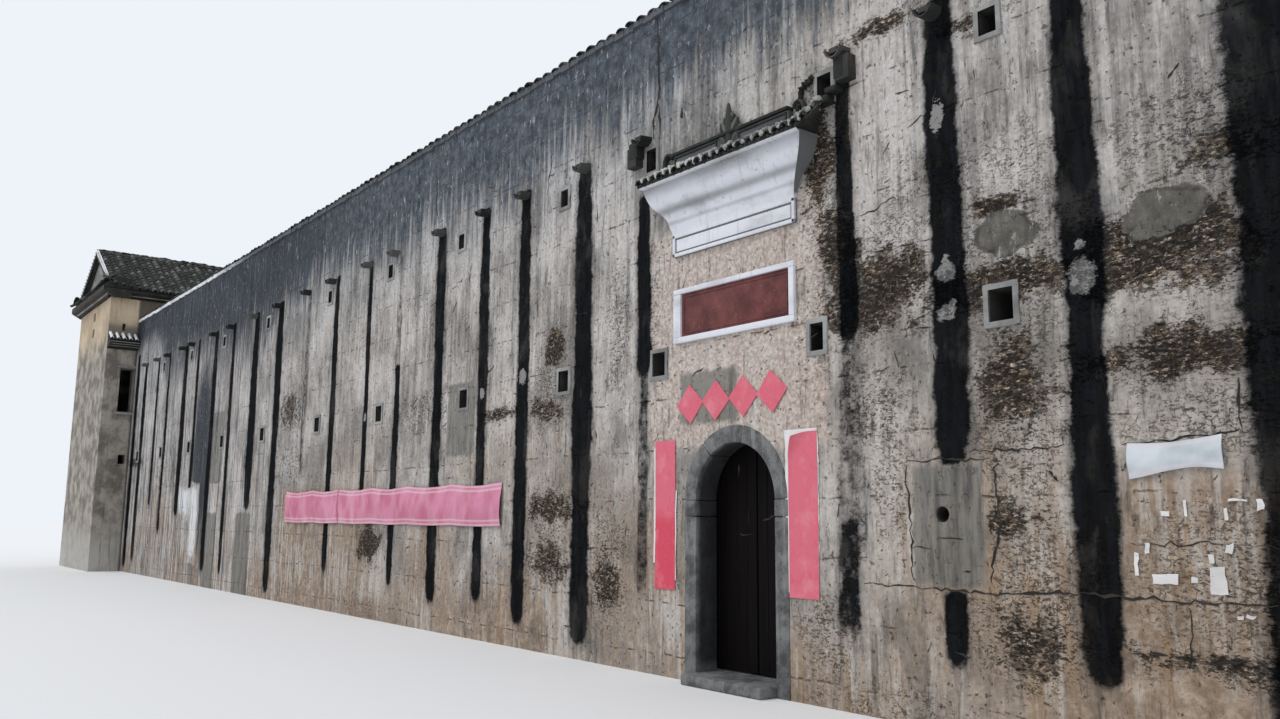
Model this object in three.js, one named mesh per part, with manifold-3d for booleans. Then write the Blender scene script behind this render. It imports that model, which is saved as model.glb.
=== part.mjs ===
// A walled house of rammed earth: four ranges of rooms round a court, a tower on each corner and one
// arched gate. It is built as a model at half the real size. Every dimension in this file is the real
// one, in millimetres, and the whole group is scaled at the end.
//
// Frame: the middle of the plan on the ground is the origin, the gate faces -Y, and +Z is up.

import * as THREE from "three";
import { mergeVertices } from "three/addons/utils/BufferGeometryUtils.js";
import Module from "manifold-3d";

const wasm = await Module();
wasm.setup();

const MODEL_SCALE = 0.5;
const SEAT = 0.6; // gap between two pieces that rest on each other

// Plan
const HALF_WIDTH = 30450; // middle of the house to a side wall's outer face
const HALF_DEPTH = 20000; // middle of the house to the front wall's outer face
const RANGE_DEPTH = 4450; // outer face of a range to its face on the court
const TOWER_STEP = 850; // how far a tower stands out in front of the wall
const OUTER_WALL = 600;
const PARAPET = 350;
const INNER_WALL = 300;
const TOWER_WALL = 500;
const FRONT_HALF = HALF_WIDTH - RANGE_DEPTH; // half the length of the front and back ranges
const SIDE_HALF = HALF_DEPTH - RANGE_DEPTH; // half the length of the side ranges

// Heights
const WALL_TOP = 7340;
const COPING = 75;
const GUTTER = 5950;
const FLOOR_THICKNESS = 150;
const FLOORS = [2750, 4900]; // tops of the range's upper floors
const TOWER_TOP = 8000;
const TOWER_FLOORS = [2750, 4550, 6450];

// Range roofs
const ROOF_THICKNESS = 170;
const ROOF_SLOPE = 0.55;
const EAVE = 500; // overhang over the court
const GUTTER_WIDTH = 400;

// Openings of the outer walls, by distance from the middle of the wall
const MIDDLE_ROW = { sill: 3140, width: 215, height: 255 };
const TOP_ROW = { sill: 5495, width: 160, height: 215 };
const RIM = { width: 42, relief: 25 };
const MIDDLE_LEFT = [1170, 3030, 5570, 8430, 11130, 14160, 16900, 19600, 22300, 24900];
const MIDDLE_RIGHT = [1100, 3030, 5570, 8430, 11130, 14160, 16900, 19600, 22300, 24900];
const TOP_LEFT = [3080, 5780, 8200, 10800, 14170, 17200, 19900, 22600];
const TOP_RIGHT = [3020, 5780, 8200, 10800, 14170, 17200, 19900, 22600];
const PENT_WINDOW = { sill: 5490, width: 170, height: 260 };
const PENT_WINDOWS = [-1320, 1275];
const SIDE_BAY = 2650;
const LOW_HOLE = { x: 2420, z: 1660, radius: 62 };

// Drain spouts
const SPOUT = { width: 100, height: 50, bottom: 5850, reach: 150 };
const SPOUTS_LEFT = [1420, 2620, 4000, 5050, 6400, 8000, 9040, 10650, 11900, 13500, 15000, 16600,
  17900, 19800, 20600, 22100, 23200, 24500];
const SPOUTS_RIGHT = [1500, 2500, 3700, 5000, ...SPOUTS_LEFT.slice(4)];
const SIDE_SPOUT_SPACING = 1330;

// Openings of the inner walls
const INNER_BAY = 5200;
const INNER_DOOR = { width: 900, height: 2000 };
const PASSAGE = { width: 1800, height: 2300 };
const INNER_WINDOWS = { width: 700, rows: [[3250, 4050], [5200, 5700]] };

// Gate
const GATE = { halfOpening: 560, halfStone: 735, spring: 1800, reveal: 270, proud: 20 };
const SPANDREL = 1000; // half the length of wall that the arch carries
const RECESS_TOP = 2560;
const THRESHOLD = { front: 230, back: 480, height: 105 };
const LEAF = { meeting: 8, edge: 700, front: 300, thickness: 70, bottom: 120, top: 2500 };
const PIVOT = { x: 665, radius: 25, socket: 26, depth: 60 };

// Cornice over the gate
const BAND = { half: 900, bottom: 4400, top: 4640, relief: 60 };
const COVE = { half: 1160, top: 5190, reach: 250, steps: 10 };
const PENT = { reach: 330, lip: 35, rise: 110 };
const PENT_LEFT = 1190; // its own upturned end has broken off
const PENT_RIGHT = { straight: 1115, end: 1480, slant: 290, lift: 115, steps: 5 };
const RIDGE = { half: 860, height: 240, depth: 90 };
const RIDGE_CURL = { out: 1110, tip: 150, height: 360 };
const FINIAL = { half: 115, height: 300 };
const RIDGE_BLOCK = { x: [1490, 1650], z: [5580, 5810], reach: 120 };

// Tablet, papers and cloths
const TABLET_FRAME = { x: [-900, 870], z: [3450, 4035], relief: 50 };
const TABLET = { x: [-780, 800], z: [3515, 3980], relief: 28, border: 45 };
const PAPER = 4;
const COUPLETS = {
  couplet_left: { x: [-1215, -885], z: [885, 2430] },
  couplet_right: { x: [745, 1105], z: [910, 2410] },
};
const DIAMONDS = { count: 4, x: -650, z: 2790, spacing: 397, climb: 10, half: 208 };
const BANNERS = {
  pink_banner: { x: [-12450, -4430], z: [1500, 2070], thickness: 24, color: 0xc8506e },
  white_banner: { x: [3960, 4580], z: [1930, 2145], thickness: 12, color: 0xdadbe0 },
};

// Towers, drawn for the corner with +X and +Y
const TOWER_EAVE = 260;
const TOWER_RIDGE = 9800;
const TOWER_SLOPE = 0.6;
const TOWER_TILES = 160;
const GABLE = { set: 60, verge: 130, base: 8560 };
const TOWER_WINDOW = { y: [20050, 20440], z: [4610, 5900] };
const TOWER_HOLE = { y: [20110, 20310], z: [3080, 3350] };
const FLANK_SLOT = { y: [20390, 20480], z: [7020, 7240] };
const FACE_SLOTS = { half: 150, z: [[7060, 7320], [7560, 7830]] };
const TOWER_PENT = { reach: 330, bottom: 6450, lip: 6640, edge: 6700, top: 6900 };
const TOWER_DOORS = [[-1, 2000], [2750, 4350], [4900, 6250]];
const TOWER_DOOR_WIDTH = 900;

// Materials, by the colour of the real surface
const matte = (color, roughness = 0.9) =>
  new THREE.MeshStandardMaterial({ color, roughness, metalness: 0 });
const materials = {
  earth: matte(0xa79c8c),
  towerEarth: matte(0xb9a888),
  innerEarth: matte(0xb8ab94),
  tile: matte(0x3f4142),
  coping: matte(0x83868a),
  boards: matte(0x6b5138),
  stone: matte(0x6d7274),
  door: matte(0x2a1815, 0.75),
  white: matte(0xd4d6dc),
  tablet: matte(0x6a2a2a),
  paper: matte(0xd9607a, 0.85),
};

const root = new THREE.Group();
root.scale.setScalar(MODEL_SCALE);

// Turns a closed three.js geometry into a solid that can be joined and cut.
function solid(geometry) {
  geometry.deleteAttribute("normal");
  geometry.deleteAttribute("uv");
  const merged = mergeVertices(geometry, 1e-3);
  return new wasm.Manifold(
    new wasm.Mesh({
      numProp: 3,
      vertProperties: merged.attributes.position.array,
      triVerts: new Uint32Array(merged.index.array),
    }),
  );
}

const join = (...solids) => solids.flat().reduce((all, one) => all.add(one));
const cut = (body, ...tools) => tools.flat().reduce((rest, tool) => rest.subtract(tool), body);

function block([x0, x1], [y0, y1], [z0, z1]) {
  const box = new THREE.BoxGeometry(x1 - x0, y1 - y0, z1 - z0);
  return solid(box.translate((x0 + x1) / 2, (y0 + y1) / 2, (z0 + z1) / 2));
}

const X = new THREE.Vector3(1, 0, 0);
const Y = new THREE.Vector3(0, 1, 0);
const Z = new THREE.Vector3(0, 0, 1);

// Pushes an outline of [u, v] points, or a shape, from one place to another along an axis.
function prism(outline, axis, [from, to]) {
  const shape = Array.isArray(outline)
    ? new THREE.Shape(outline.map(([u, v]) => new THREE.Vector2(u, v)))
    : outline;
  const geometry = new THREE.ExtrudeGeometry(shape, {
    depth: to - from,
    bevelEnabled: false,
    curveSegments: 12,
  });
  if (axis === "x") {
    geometry.applyMatrix4(new THREE.Matrix4().makeBasis(Y, Z, X)).translate(from, 0, 0);
  } else if (axis === "y") {
    geometry.applyMatrix4(new THREE.Matrix4().makeBasis(X, Z, Y.clone().negate())).translate(0, to, 0);
  } else {
    geometry.translate(0, 0, from);
  }
  return solid(geometry);
}

function post(radius, [x, y], [z0, z1], sides = 24) {
  const cylinder = new THREE.CylinderGeometry(radius, radius, z1 - z0, sides);
  return solid(cylinder.rotateX(Math.PI / 2).translate(x, y, (z0 + z1) / 2));
}

function addPiece(parent, name, body, material) {
  const { vertProperties, triVerts } = body.getMesh();
  const geometry = new THREE.BufferGeometry();
  geometry.setAttribute("position", new THREE.BufferAttribute(vertProperties, 3));
  geometry.setIndex(new THREE.BufferAttribute(triVerts, 1));
  const mesh = new THREE.Mesh(geometry.toNonIndexed(), material);
  mesh.geometry.computeVertexNormals();
  mesh.name = name;
  parent.add(mesh);
  return mesh;
}

// One side of the house has its own frame: x along the wall, y from the outer face inwards.
function sideGroup(turn, distance) {
  const group = new THREE.Group();
  group.rotation.z = turn;
  group.position.set(Math.sin(turn) * distance, -Math.cos(turn) * distance, 0);
  root.add(group);
  return group;
}

const WALL_SECTION = [
  [0, 0],
  [OUTER_WALL, 0],
  [OUTER_WALL, GUTTER],
  [PARAPET, GUTTER],
  [PARAPET, WALL_TOP],
  [0, WALL_TOP],
];

const spread = (half, spacing, margin) => {
  const count = Math.floor((2 * (half - margin)) / spacing);
  return Array.from({ length: count }, (_, i) => (i - (count - 1) / 2) * spacing);
};

const windowHole = (x, { sill, width, height }) =>
  block([x - width / 2, x + width / 2], [-100, OUTER_WALL + 100], [sill, sill + height]);

const windowRim = (x, { sill, width, height }) =>
  block(
    [x - width / 2 - RIM.width, x + width / 2 + RIM.width],
    [-RIM.relief, 100],
    [sill - RIM.width, sill + height + RIM.width],
  );

const spoutBlock = (x) =>
  block(
    [x - SPOUT.width / 2, x + SPOUT.width / 2],
    [-SPOUT.reach, 100],
    [SPOUT.bottom, SPOUT.bottom + SPOUT.height],
  );

// An outer wall between two places, with its spouts, window rims and the windows cut through it.
function outerWall(span, spouts, rows) {
  const within = (x) => x > span[0] && x < span[1];
  const holes = rows.flatMap(([places, row]) => places.filter(within).map((x) => [x, row]));
  const body = join(
    prism(WALL_SECTION, "x", span),
    spouts.filter(within).map(spoutBlock),
    holes.map(([x, row]) => windowRim(x, row)),
  );
  return cut(body, holes.map(([x, row]) => windowHole(x, row)));
}

function coping(half) {
  const middle = PARAPET / 2;
  const out = middle + 45;
  const outline = [
    [middle - out, WALL_TOP + SEAT],
    [middle + out, WALL_TOP + SEAT],
    [middle + out, WALL_TOP + COPING / 2],
    [middle, WALL_TOP + COPING],
    [middle - out, WALL_TOP + COPING / 2],
  ];
  return prism(outline, "x", [-half + SEAT, half - SEAT]);
}

// The range roof rests on the outer wall's ledge, carries the gutter there, and drops to the court.
const roofUnderside = (y) => {
  const foot = PARAPET + GUTTER_WIDTH;
  const ridge = (OUTER_WALL + RANGE_DEPTH) / 2;
  const ridgeHeight = GUTTER + SEAT + (ridge - foot) * ROOF_SLOPE;
  return y < ridge ? GUTTER + SEAT + (y - foot) * ROOF_SLOPE : ridgeHeight - (y - ridge) * ROOF_SLOPE;
};

function rangeRoof(half) {
  const foot = PARAPET + GUTTER_WIDTH;
  const ridge = (OUTER_WALL + RANGE_DEPTH) / 2;
  const eave = RANGE_DEPTH + EAVE;
  const under = roofUnderside;
  const outline = [
    [PARAPET + SEAT, GUTTER + SEAT],
    [foot, GUTTER + SEAT],
    [ridge, under(ridge)],
    [eave, under(eave)],
    [eave, under(eave) + ROOF_THICKNESS],
    [ridge, under(ridge) + ROOF_THICKNESS],
    [foot, GUTTER + 80],
    [PARAPET + SEAT, GUTTER + 80],
  ];
  const body = prism(outline, "x", [-half + SEAT, half - SEAT]);
  const beyond = eave - RANGE_DEPTH + 10;
  const mitres = [-1, 1].map((side) =>
    prism(
      [
        [side * (half - SEAT), RANGE_DEPTH],
        [side * (half + beyond), RANGE_DEPTH],
        [side * (half + beyond), RANGE_DEPTH + beyond],
        [side * (half - SEAT - beyond), RANGE_DEPTH + beyond],
      ],
      "z",
      [GUTTER - 1000, GUTTER + 1000],
    ),
  );
  return cut(body, mitres);
}

// The wall on the court, with a doorway at each bay on the ground and a window above it on each floor.
function innerWall(half, hasPassage) {
  const face = [RANGE_DEPTH - INNER_WALL, RANGE_DEPTH];
  const through = [face[0] - 100, face[1] + 100];
  const bays = spread(half, INNER_BAY, 2000);
  const doors = bays.map((x) => {
    const { width, height } = hasPassage && x === 0 ? PASSAGE : INNER_DOOR;
    return block([x - width / 2, x + width / 2], through, [-100, height]);
  });
  const windows = INNER_WINDOWS.rows.flatMap((z) =>
    bays.map((x) => block([x - INNER_WINDOWS.width / 2, x + INNER_WINDOWS.width / 2], through, z)),
  );
  const top = roofUnderside(RANGE_DEPTH) - SEAT;
  return cut(block([-half + SEAT, half - SEAT], face, [0, top]), doors, windows);
}

const rangeFloor = (half, top) =>
  block(
    [-half + SEAT, half - SEAT],
    [OUTER_WALL + SEAT, RANGE_DEPTH - INNER_WALL - SEAT],
    [top - FLOOR_THICKNESS, top],
  );

function addRange(name, group, half) {
  addPiece(group, name + "_coping", coping(half), materials.coping);
  addPiece(group, name + "_inner_wall", innerWall(half, name === "front"), materials.innerEarth);
  addPiece(group, name + "_middle_floor", rangeFloor(half, FLOORS[0]), materials.boards);
  addPiece(group, name + "_upper_floor", rangeFloor(half, FLOORS[1]), materials.boards);
  addPiece(group, name + "_roof", rangeRoof(half), materials.tile);
}

// The front wall is split beside and over the gate. The arch stones fill the notch under the middle.
function addFrontWall(group) {
  const negate = (list) => list.map((x) => -x);
  const spouts = [...negate(SPOUTS_LEFT), ...SPOUTS_RIGHT];
  const rows = [
    [[...negate(MIDDLE_LEFT), ...MIDDLE_RIGHT], MIDDLE_ROW],
    [[...negate(TOP_LEFT), ...TOP_RIGHT], TOP_ROW],
    [PENT_WINDOWS, PENT_WINDOW],
  ];
  const depth = [-400, OUTER_WALL + 100];
  const jamb = GATE.halfStone + SEAT;

  const overSpandrel = [GATE.spring, WALL_TOP + 100];
  const ridgeBlock = (side) =>
    block(
      RIDGE_BLOCK.x.map((x) => side * x).sort((a, b) => a - b),
      [-RIDGE_BLOCK.reach, 100],
      RIDGE_BLOCK.z,
    );
  const left = cut(
    join(outerWall([-FRONT_HALF + SEAT, -jamb], spouts, rows), ridgeBlock(-1)),
    block([-SPANDREL, 0], depth, overSpandrel),
  );
  const right = cut(
    join(outerWall([jamb, FRONT_HALF - SEAT], spouts, rows), ridgeBlock(1)),
    block([0, SPANDREL], depth, overSpandrel),
    prism(circle(LOW_HOLE.x, LOW_HOLE.z, LOW_HOLE.radius), "y", depth),
  );

  const over = cut(
    outerWall([-SPANDREL + SEAT, SPANDREL - SEAT], [], []),
    block([-SPANDREL, SPANDREL], depth, [-100, GATE.spring + SEAT]),
    prism(circle(0, GATE.spring, GATE.halfStone + SEAT, 24), "y", [-100, GATE.reveal + SEAT]),
    block([-jamb, jamb], [GATE.reveal, depth[1]], [0, RECESS_TOP]),
    [-1, 1].map((side) =>
      post(PIVOT.socket, [side * PIVOT.x, pivotY()], [RECESS_TOP - 10, RECESS_TOP + PIVOT.depth]),
    ),
  );
  addPiece(group, "front_wall_left", left, materials.earth);
  addPiece(group, "front_wall_right", right, materials.earth);
  addPiece(group, "front_wall_over_gate", over, materials.earth);
}

// A round outline in many short sides.
function circle(x, z, radius, sides = 16) {
  return Array.from({ length: 2 * sides }, (_, i) => {
    const angle = (Math.PI * i) / sides;
    return [x + radius * Math.cos(angle), z + radius * Math.sin(angle)];
  });
}

const pivotY = () => LEAF.front + LEAF.thickness / 2;

function addGate(group) {
  const depth = [-GATE.proud, GATE.reveal];
  const jambStone = (side) =>
    block(
      side < 0 ? [-GATE.halfStone, -GATE.halfOpening] : [GATE.halfOpening, GATE.halfStone],
      depth,
      [0, GATE.spring],
    );
  addPiece(group, "gate_jamb_left", jambStone(-1), materials.stone);
  addPiece(group, "gate_jamb_right", jambStone(1), materials.stone);

  const ring = new THREE.Shape();
  ring.absarc(0, GATE.spring, GATE.halfStone, 0, Math.PI, false);
  ring.absarc(0, GATE.spring, GATE.halfOpening, Math.PI, 0, true);
  const arch = cut(
    prism(ring, "y", depth),
    block([-GATE.halfStone, GATE.halfStone], [-100, GATE.reveal + 100], [0, GATE.spring + SEAT]),
  );
  addPiece(group, "gate_arch", arch, materials.stone);

  const inner = GATE.halfOpening - SEAT;
  const wide = GATE.halfStone - SEAT;
  const threshold = cut(
    join(
      block([-inner, inner], [-THRESHOLD.front, THRESHOLD.back], [0, THRESHOLD.height]),
      block([-wide, wide], [GATE.reveal + SEAT, THRESHOLD.back], [0, THRESHOLD.height]),
    ),
    [-1, 1].map((side) =>
      post(
        PIVOT.socket,
        [side * PIVOT.x, pivotY()],
        [THRESHOLD.height - PIVOT.depth, THRESHOLD.height + 10],
      ),
    ),
  );
  addPiece(group, "threshold", threshold, materials.stone);

  for (const [name, side] of [["door_leaf_left", -1], ["door_leaf_right", 1]]) {
    const across = [side * LEAF.meeting, side * LEAF.edge].sort((a, b) => a - b);
    const leaf = join(
      block(across, [LEAF.front, LEAF.front + LEAF.thickness], [LEAF.bottom, LEAF.top]),
      post(
        PIVOT.radius,
        [side * PIVOT.x, pivotY()],
        [THRESHOLD.height - PIVOT.depth + SEAT, RECESS_TOP + PIVOT.depth - SEAT],
      ),
    );
    addPiece(group, name, leaf, materials.door);
  }
}

// A solid through rings of corners, one after another. Each ring turns anticlockwise as the next sees it.
function loft(rings) {
  const size = rings[0].length;
  const faces = [];
  for (let ring = 0; ring < rings.length - 1; ring++) {
    for (let side = 0; side < size; side++) {
      const a = size * ring + side;
      const b = size * ring + ((side + 1) % size);
      faces.push([a, b, b + size], [a, b + size, a + size]);
    }
  }
  const last = size * (rings.length - 1);
  for (let corner = 1; corner < size - 1; corner++) {
    faces.push([0, corner + 1, corner], [last, last + corner, last + corner + 1]);
  }
  const geometry = new THREE.BufferGeometry();
  geometry.setAttribute("position", new THREE.Float32BufferAttribute(rings.flat(2), 3));
  geometry.setIndex(faces.flat());
  return solid(geometry);
}

// Four corners of a level, flat against the wall.
const wallLevel = ({ half, reach, z }) => [
  [-half, -reach, z],
  [half, -reach, z],
  [half, -SEAT, z],
  [-half, -SEAT, z],
];

// The white cornice: a framed band, and over it a cove that sweeps outwards in an S.
function addCornice(group) {
  const cove = Array.from({ length: COVE.steps + 1 }, (_, i) => {
    const t = i / COVE.steps;
    const sweep = t - (0.45 * Math.sin(2 * Math.PI * t)) / Math.PI;
    return {
      half: BAND.half + (COVE.half - BAND.half) * sweep,
      reach: BAND.relief + (COVE.reach - BAND.relief) * sweep,
      z: BAND.top + (COVE.top - BAND.top) * t,
    };
  });
  const band = { half: BAND.half, reach: BAND.relief };
  const inset = 40;
  const cornice = cut(
    loft([{ ...band, z: BAND.bottom }, ...cove].map(wallLevel)),
    block(
      [-BAND.half + inset, BAND.half - inset],
      [-BAND.relief - 10, -BAND.relief + 18],
      [BAND.bottom + inset, BAND.top - inset],
    ),
  );
  addPiece(group, "cornice", cornice, materials.white);

  const eave = COVE.top + SEAT;
  const tiles = [
    [-SEAT, eave],
    [-SEAT, eave + PENT.rise],
    [-RIDGE.depth - SEAT, eave + PENT.rise],
    [-PENT.reach, eave + PENT.lip],
    [-PENT.reach, eave],
  ];
  const { straight, end, slant, lift, steps } = PENT_RIGHT;
  const rightEnd = Array.from({ length: steps + 1 }, (_, i) => {
    const t = i / steps;
    return tiles.map(([y, z]) => {
      const edge = end - slant * (1 + y / PENT.reach);
      return [straight + (edge - straight) * t, y, z + lift * t ** 2];
    });
  });
  const pent = loft([tiles.map(([y, z]) => [-PENT_LEFT, y, z]), ...rightEnd]);
  addPiece(group, "cornice_tiles", pent, materials.tile);

  const foot = eave + PENT.rise + SEAT;
  const depth = [-RIDGE.depth, -SEAT];
  const top = foot + RIDGE.height;
  const finial = [
    [-FINIAL.half, foot],
    [FINIAL.half, foot],
    [FINIAL.half, top],
    [FINIAL.half / 4, top + FINIAL.height],
    [-FINIAL.half / 4, top + FINIAL.height],
    [-FINIAL.half, top],
  ];
  const curls = [-1, 1].map((side) => {
    const outline = [
      [side * (RIDGE.half - RIDGE_CURL.tip), foot],
      [side * RIDGE_CURL.out, foot],
      [side * RIDGE_CURL.out, foot + RIDGE_CURL.height],
      [side * (RIDGE_CURL.out - RIDGE_CURL.tip), foot + RIDGE_CURL.height],
      [side * RIDGE.half, top],
    ];
    return prism(outline, "y", depth);
  });
  const slab = block([-RIDGE.half, RIDGE.half], depth, [foot, top]);
  addPiece(group, "cornice_ridge", join(slab, prism(finial, "y", depth), curls), materials.tile);
}

function addTablet(group) {
  const { x, z, relief, border } = TABLET;
  const opening = ([low, high]) => [low - SEAT, high + SEAT];
  const frame = cut(
    block(TABLET_FRAME.x, [-TABLET_FRAME.relief, -SEAT], TABLET_FRAME.z),
    block(opening(x), [-TABLET_FRAME.relief - 10, 10], opening(z)),
  );
  addPiece(group, "tablet_frame", frame, materials.white);
  const sunk = ([low, high]) => [low + border, high - border];
  const panel = cut(block(x, [-relief, -SEAT], z), block(sunk(x), [-relief - 10, -relief + 8], sunk(z)));
  addPiece(group, "tablet", panel, materials.tablet);
}

function addPapersAndCloths(group) {
  for (const [name, { x, z }] of Object.entries(COUPLETS)) {
    addPiece(group, name, block(x, [-PAPER - SEAT, -SEAT], z), materials.paper);
  }
  const diamond = (x, z) =>
    prism(
      [[x - DIAMONDS.half, z], [x, z - DIAMONDS.half], [x + DIAMONDS.half, z], [x, z + DIAMONDS.half]],
      "y",
      [-PAPER - SEAT, -SEAT],
    );
  const papers = join(
    Array.from({ length: DIAMONDS.count }, (_, i) =>
      diamond(DIAMONDS.x + i * DIAMONDS.spacing, DIAMONDS.z + i * DIAMONDS.climb),
    ),
  );
  addPiece(group, "diamond_papers", papers, materials.paper);
  for (const [name, { x, z, thickness, color }] of Object.entries(BANNERS)) {
    addPiece(group, name, block(x, [-thickness - SEAT, -SEAT], z), matte(color));
  }
}

// The tower's four walls with its floors built in. The windows look along the main wall.
function towerShaft() {
  const x = [FRONT_HALF, HALF_WIDTH];
  const y = [SIDE_HALF, HALF_DEPTH + TOWER_STEP];
  const inside = ([low, high]) => [low + TOWER_WALL, high - TOWER_WALL];
  const [flank, middleX, side] = [x[0], (x[0] + x[1]) / 2, x[1]];
  const storeys = [-100, ...TOWER_FLOORS];
  const ceilings = [...TOWER_FLOORS.map((top) => top - FLOOR_THICKNESS), TOWER_TOP + 100];
  const rooms = storeys.map((floor, i) => block(inside(x), inside(y), [floor, ceilings[i]]));

  const acrossFlank = [flank - 100, flank + TOWER_WALL + 100];
  const acrossSide = [side - TOWER_WALL - 100, side + 100];
  const frame = (range) => [range[0] - RIM.width, range[1] + RIM.width];
  const relief = [flank - RIM.relief, flank + 100];
  const doorY = (SIDE_HALF + HALF_DEPTH) / 2;
  const faceSlot = (z) =>
    block(
      [middleX - FACE_SLOTS.half, middleX + FACE_SLOTS.half],
      [y[1] - TOWER_WALL - 100, y[1] + 100],
      z,
    );
  const pent = [
    [flank + 50, TOWER_PENT.bottom],
    [flank - 60, TOWER_PENT.bottom],
    [flank - TOWER_PENT.reach, TOWER_PENT.lip],
    [flank - TOWER_PENT.reach, TOWER_PENT.edge],
    [flank + 50, TOWER_PENT.top],
  ];
  const walls = join(
    block(x, y, [0, TOWER_TOP]),
    prism(pent, "y", [HALF_DEPTH + 2 * SEAT, y[1]]),
    block(relief, [HALF_DEPTH + SEAT, TOWER_WINDOW.y[1] + RIM.width], frame(TOWER_WINDOW.z)),
    block(relief, frame(TOWER_HOLE.y), frame(TOWER_HOLE.z)),
  );
  return cut(
    walls,
    rooms,
    block(acrossFlank, TOWER_WINDOW.y, TOWER_WINDOW.z),
    block(acrossFlank, TOWER_HOLE.y, TOWER_HOLE.z),
    block(acrossFlank, FLANK_SLOT.y, FLANK_SLOT.z),
    block(acrossSide, [doorY - FACE_SLOTS.half, doorY + FACE_SLOTS.half], TOWER_HOLE.z),
    FACE_SLOTS.z.flatMap((z) => [
      faceSlot(z),
      block(acrossSide, [doorY - FACE_SLOTS.half, doorY + FACE_SLOTS.half], z),
    ]),
    TOWER_DOORS.map((z) =>
      block(acrossFlank, [doorY - TOWER_DOOR_WIDTH / 2, doorY + TOWER_DOOR_WIDTH / 2], z),
    ),
  );
}

// A roof with a gable at each end over a short skirt of tiles. It is open underneath.
function towerRoof() {
  const middle = (FRONT_HALF + HALF_WIDTH) / 2;
  const half = RANGE_DEPTH / 2;
  const y = [SIDE_HALF, HALF_DEPTH + TOWER_STEP];
  const tip = half + TOWER_EAVE;
  const topAt = (across) => TOWER_RIDGE - across * TOWER_SLOPE;
  const foot = TOWER_TOP + SEAT;
  const mirrored = (points) => [
    ...points.map(([u, v]) => [middle + u, v]),
    ...points.toReversed().filter(([u]) => u !== 0).map(([u, v]) => [middle - u, v]),
  ];
  const gableBody = mirrored([
    [0, topAt(0)],
    [tip, topAt(tip)],
    [tip, topAt(tip) - TOWER_TILES],
    [half, foot],
  ]);
  const tiles = mirrored([
    [0, topAt(0)],
    [tip, topAt(tip)],
    [tip, topAt(tip) - TOWER_TILES],
    [0, topAt(0) - TOWER_TILES],
  ]);
  const hollowHalf = half - TOWER_WALL;
  const hollow = mirrored([
    [0, topAt(0) - 2 * TOWER_TILES],
    [hollowHalf, topAt(hollowHalf) - 2 * TOWER_TILES],
    [hollowHalf, foot - 10],
  ]);
  const skirt = (end, out) =>
    prism(
      [
        [end - out * TOWER_WALL, foot],
        [end, foot],
        [end + out * TOWER_EAVE, topAt(tip) - TOWER_TILES],
        [end + out * TOWER_EAVE, topAt(tip)],
        [end - out * GABLE.set, GABLE.base],
        [end - out * TOWER_WALL, GABLE.base],
      ],
      "x",
      [middle - tip, middle + tip],
    );
  const body = join(
    prism(gableBody, "y", [y[0] + GABLE.set, y[1] - GABLE.set]),
    prism(tiles, "y", [y[0] + GABLE.set - GABLE.verge, y[1] - GABLE.set + GABLE.verge]),
    skirt(y[0], -1),
    skirt(y[1], 1),
  );
  return cut(body, prism(hollow, "y", [y[0] + TOWER_WALL, y[1] - TOWER_WALL]));
}

function addTowers() {
  const shaft = towerShaft();
  const roof = towerRoof();
  for (const [end, sy] of [["front", -1], ["back", 1]]) {
    for (const [side, sx] of [["left", -1], ["right", 1]]) {
      const tower = addPiece(root, `${end}_${side}_tower`, shaft, materials.towerEarth);
      const cover = addPiece(root, `${end}_${side}_tower_roof`, roof, materials.tile);
      tower.scale.set(sx, sy, 1);
      cover.scale.set(sx, sy, 1);
    }
  }
}

const front = sideGroup(0, HALF_DEPTH);
addFrontWall(front);
addRange("front", front, FRONT_HALF);

const back = sideGroup(Math.PI, HALF_DEPTH);
const bothWays = (list) => [...list, ...list.map((x) => -x)];
const backWall = outerWall([-FRONT_HALF + SEAT, FRONT_HALF - SEAT], bothWays(SPOUTS_LEFT), [
  [bothWays(MIDDLE_LEFT), MIDDLE_ROW],
  [bothWays(TOP_LEFT), TOP_ROW],
]);
addPiece(back, "back_wall", backWall, materials.earth);
addRange("back", back, FRONT_HALF);

for (const [name, turn] of [["left", -Math.PI / 2], ["right", Math.PI / 2]]) {
  const side = sideGroup(turn, HALF_WIDTH);
  const windows = spread(SIDE_HALF, SIDE_BAY, 800);
  const spouts = spread(SIDE_HALF, SIDE_SPOUT_SPACING, 600);
  const wall = outerWall([-SIDE_HALF + SEAT, SIDE_HALF - SEAT], spouts, [
    [windows, MIDDLE_ROW],
    [windows, TOP_ROW],
  ]);
  addPiece(side, name + "_wall", wall, materials.earth);
  addRange(name, side, SIDE_HALF);
}

addTowers();
addGate(front);
addCornice(front);
addTablet(front);
addPapersAndCloths(front);

export default root;
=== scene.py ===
# %% [markdown]
# This lesson dresses a walled clan house of rammed earth. The house itself, with its real walls, floors,
# roofs and doors, comes as a fixed frame of plain solids. What we add is what the eye reads first: the
# worn plaster, the rain stains under the spouts, the tiles, the dressed stones, papers and cloths.

import math

import bpy
import numpy as np
from mathutils import Matrix, Vector


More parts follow.
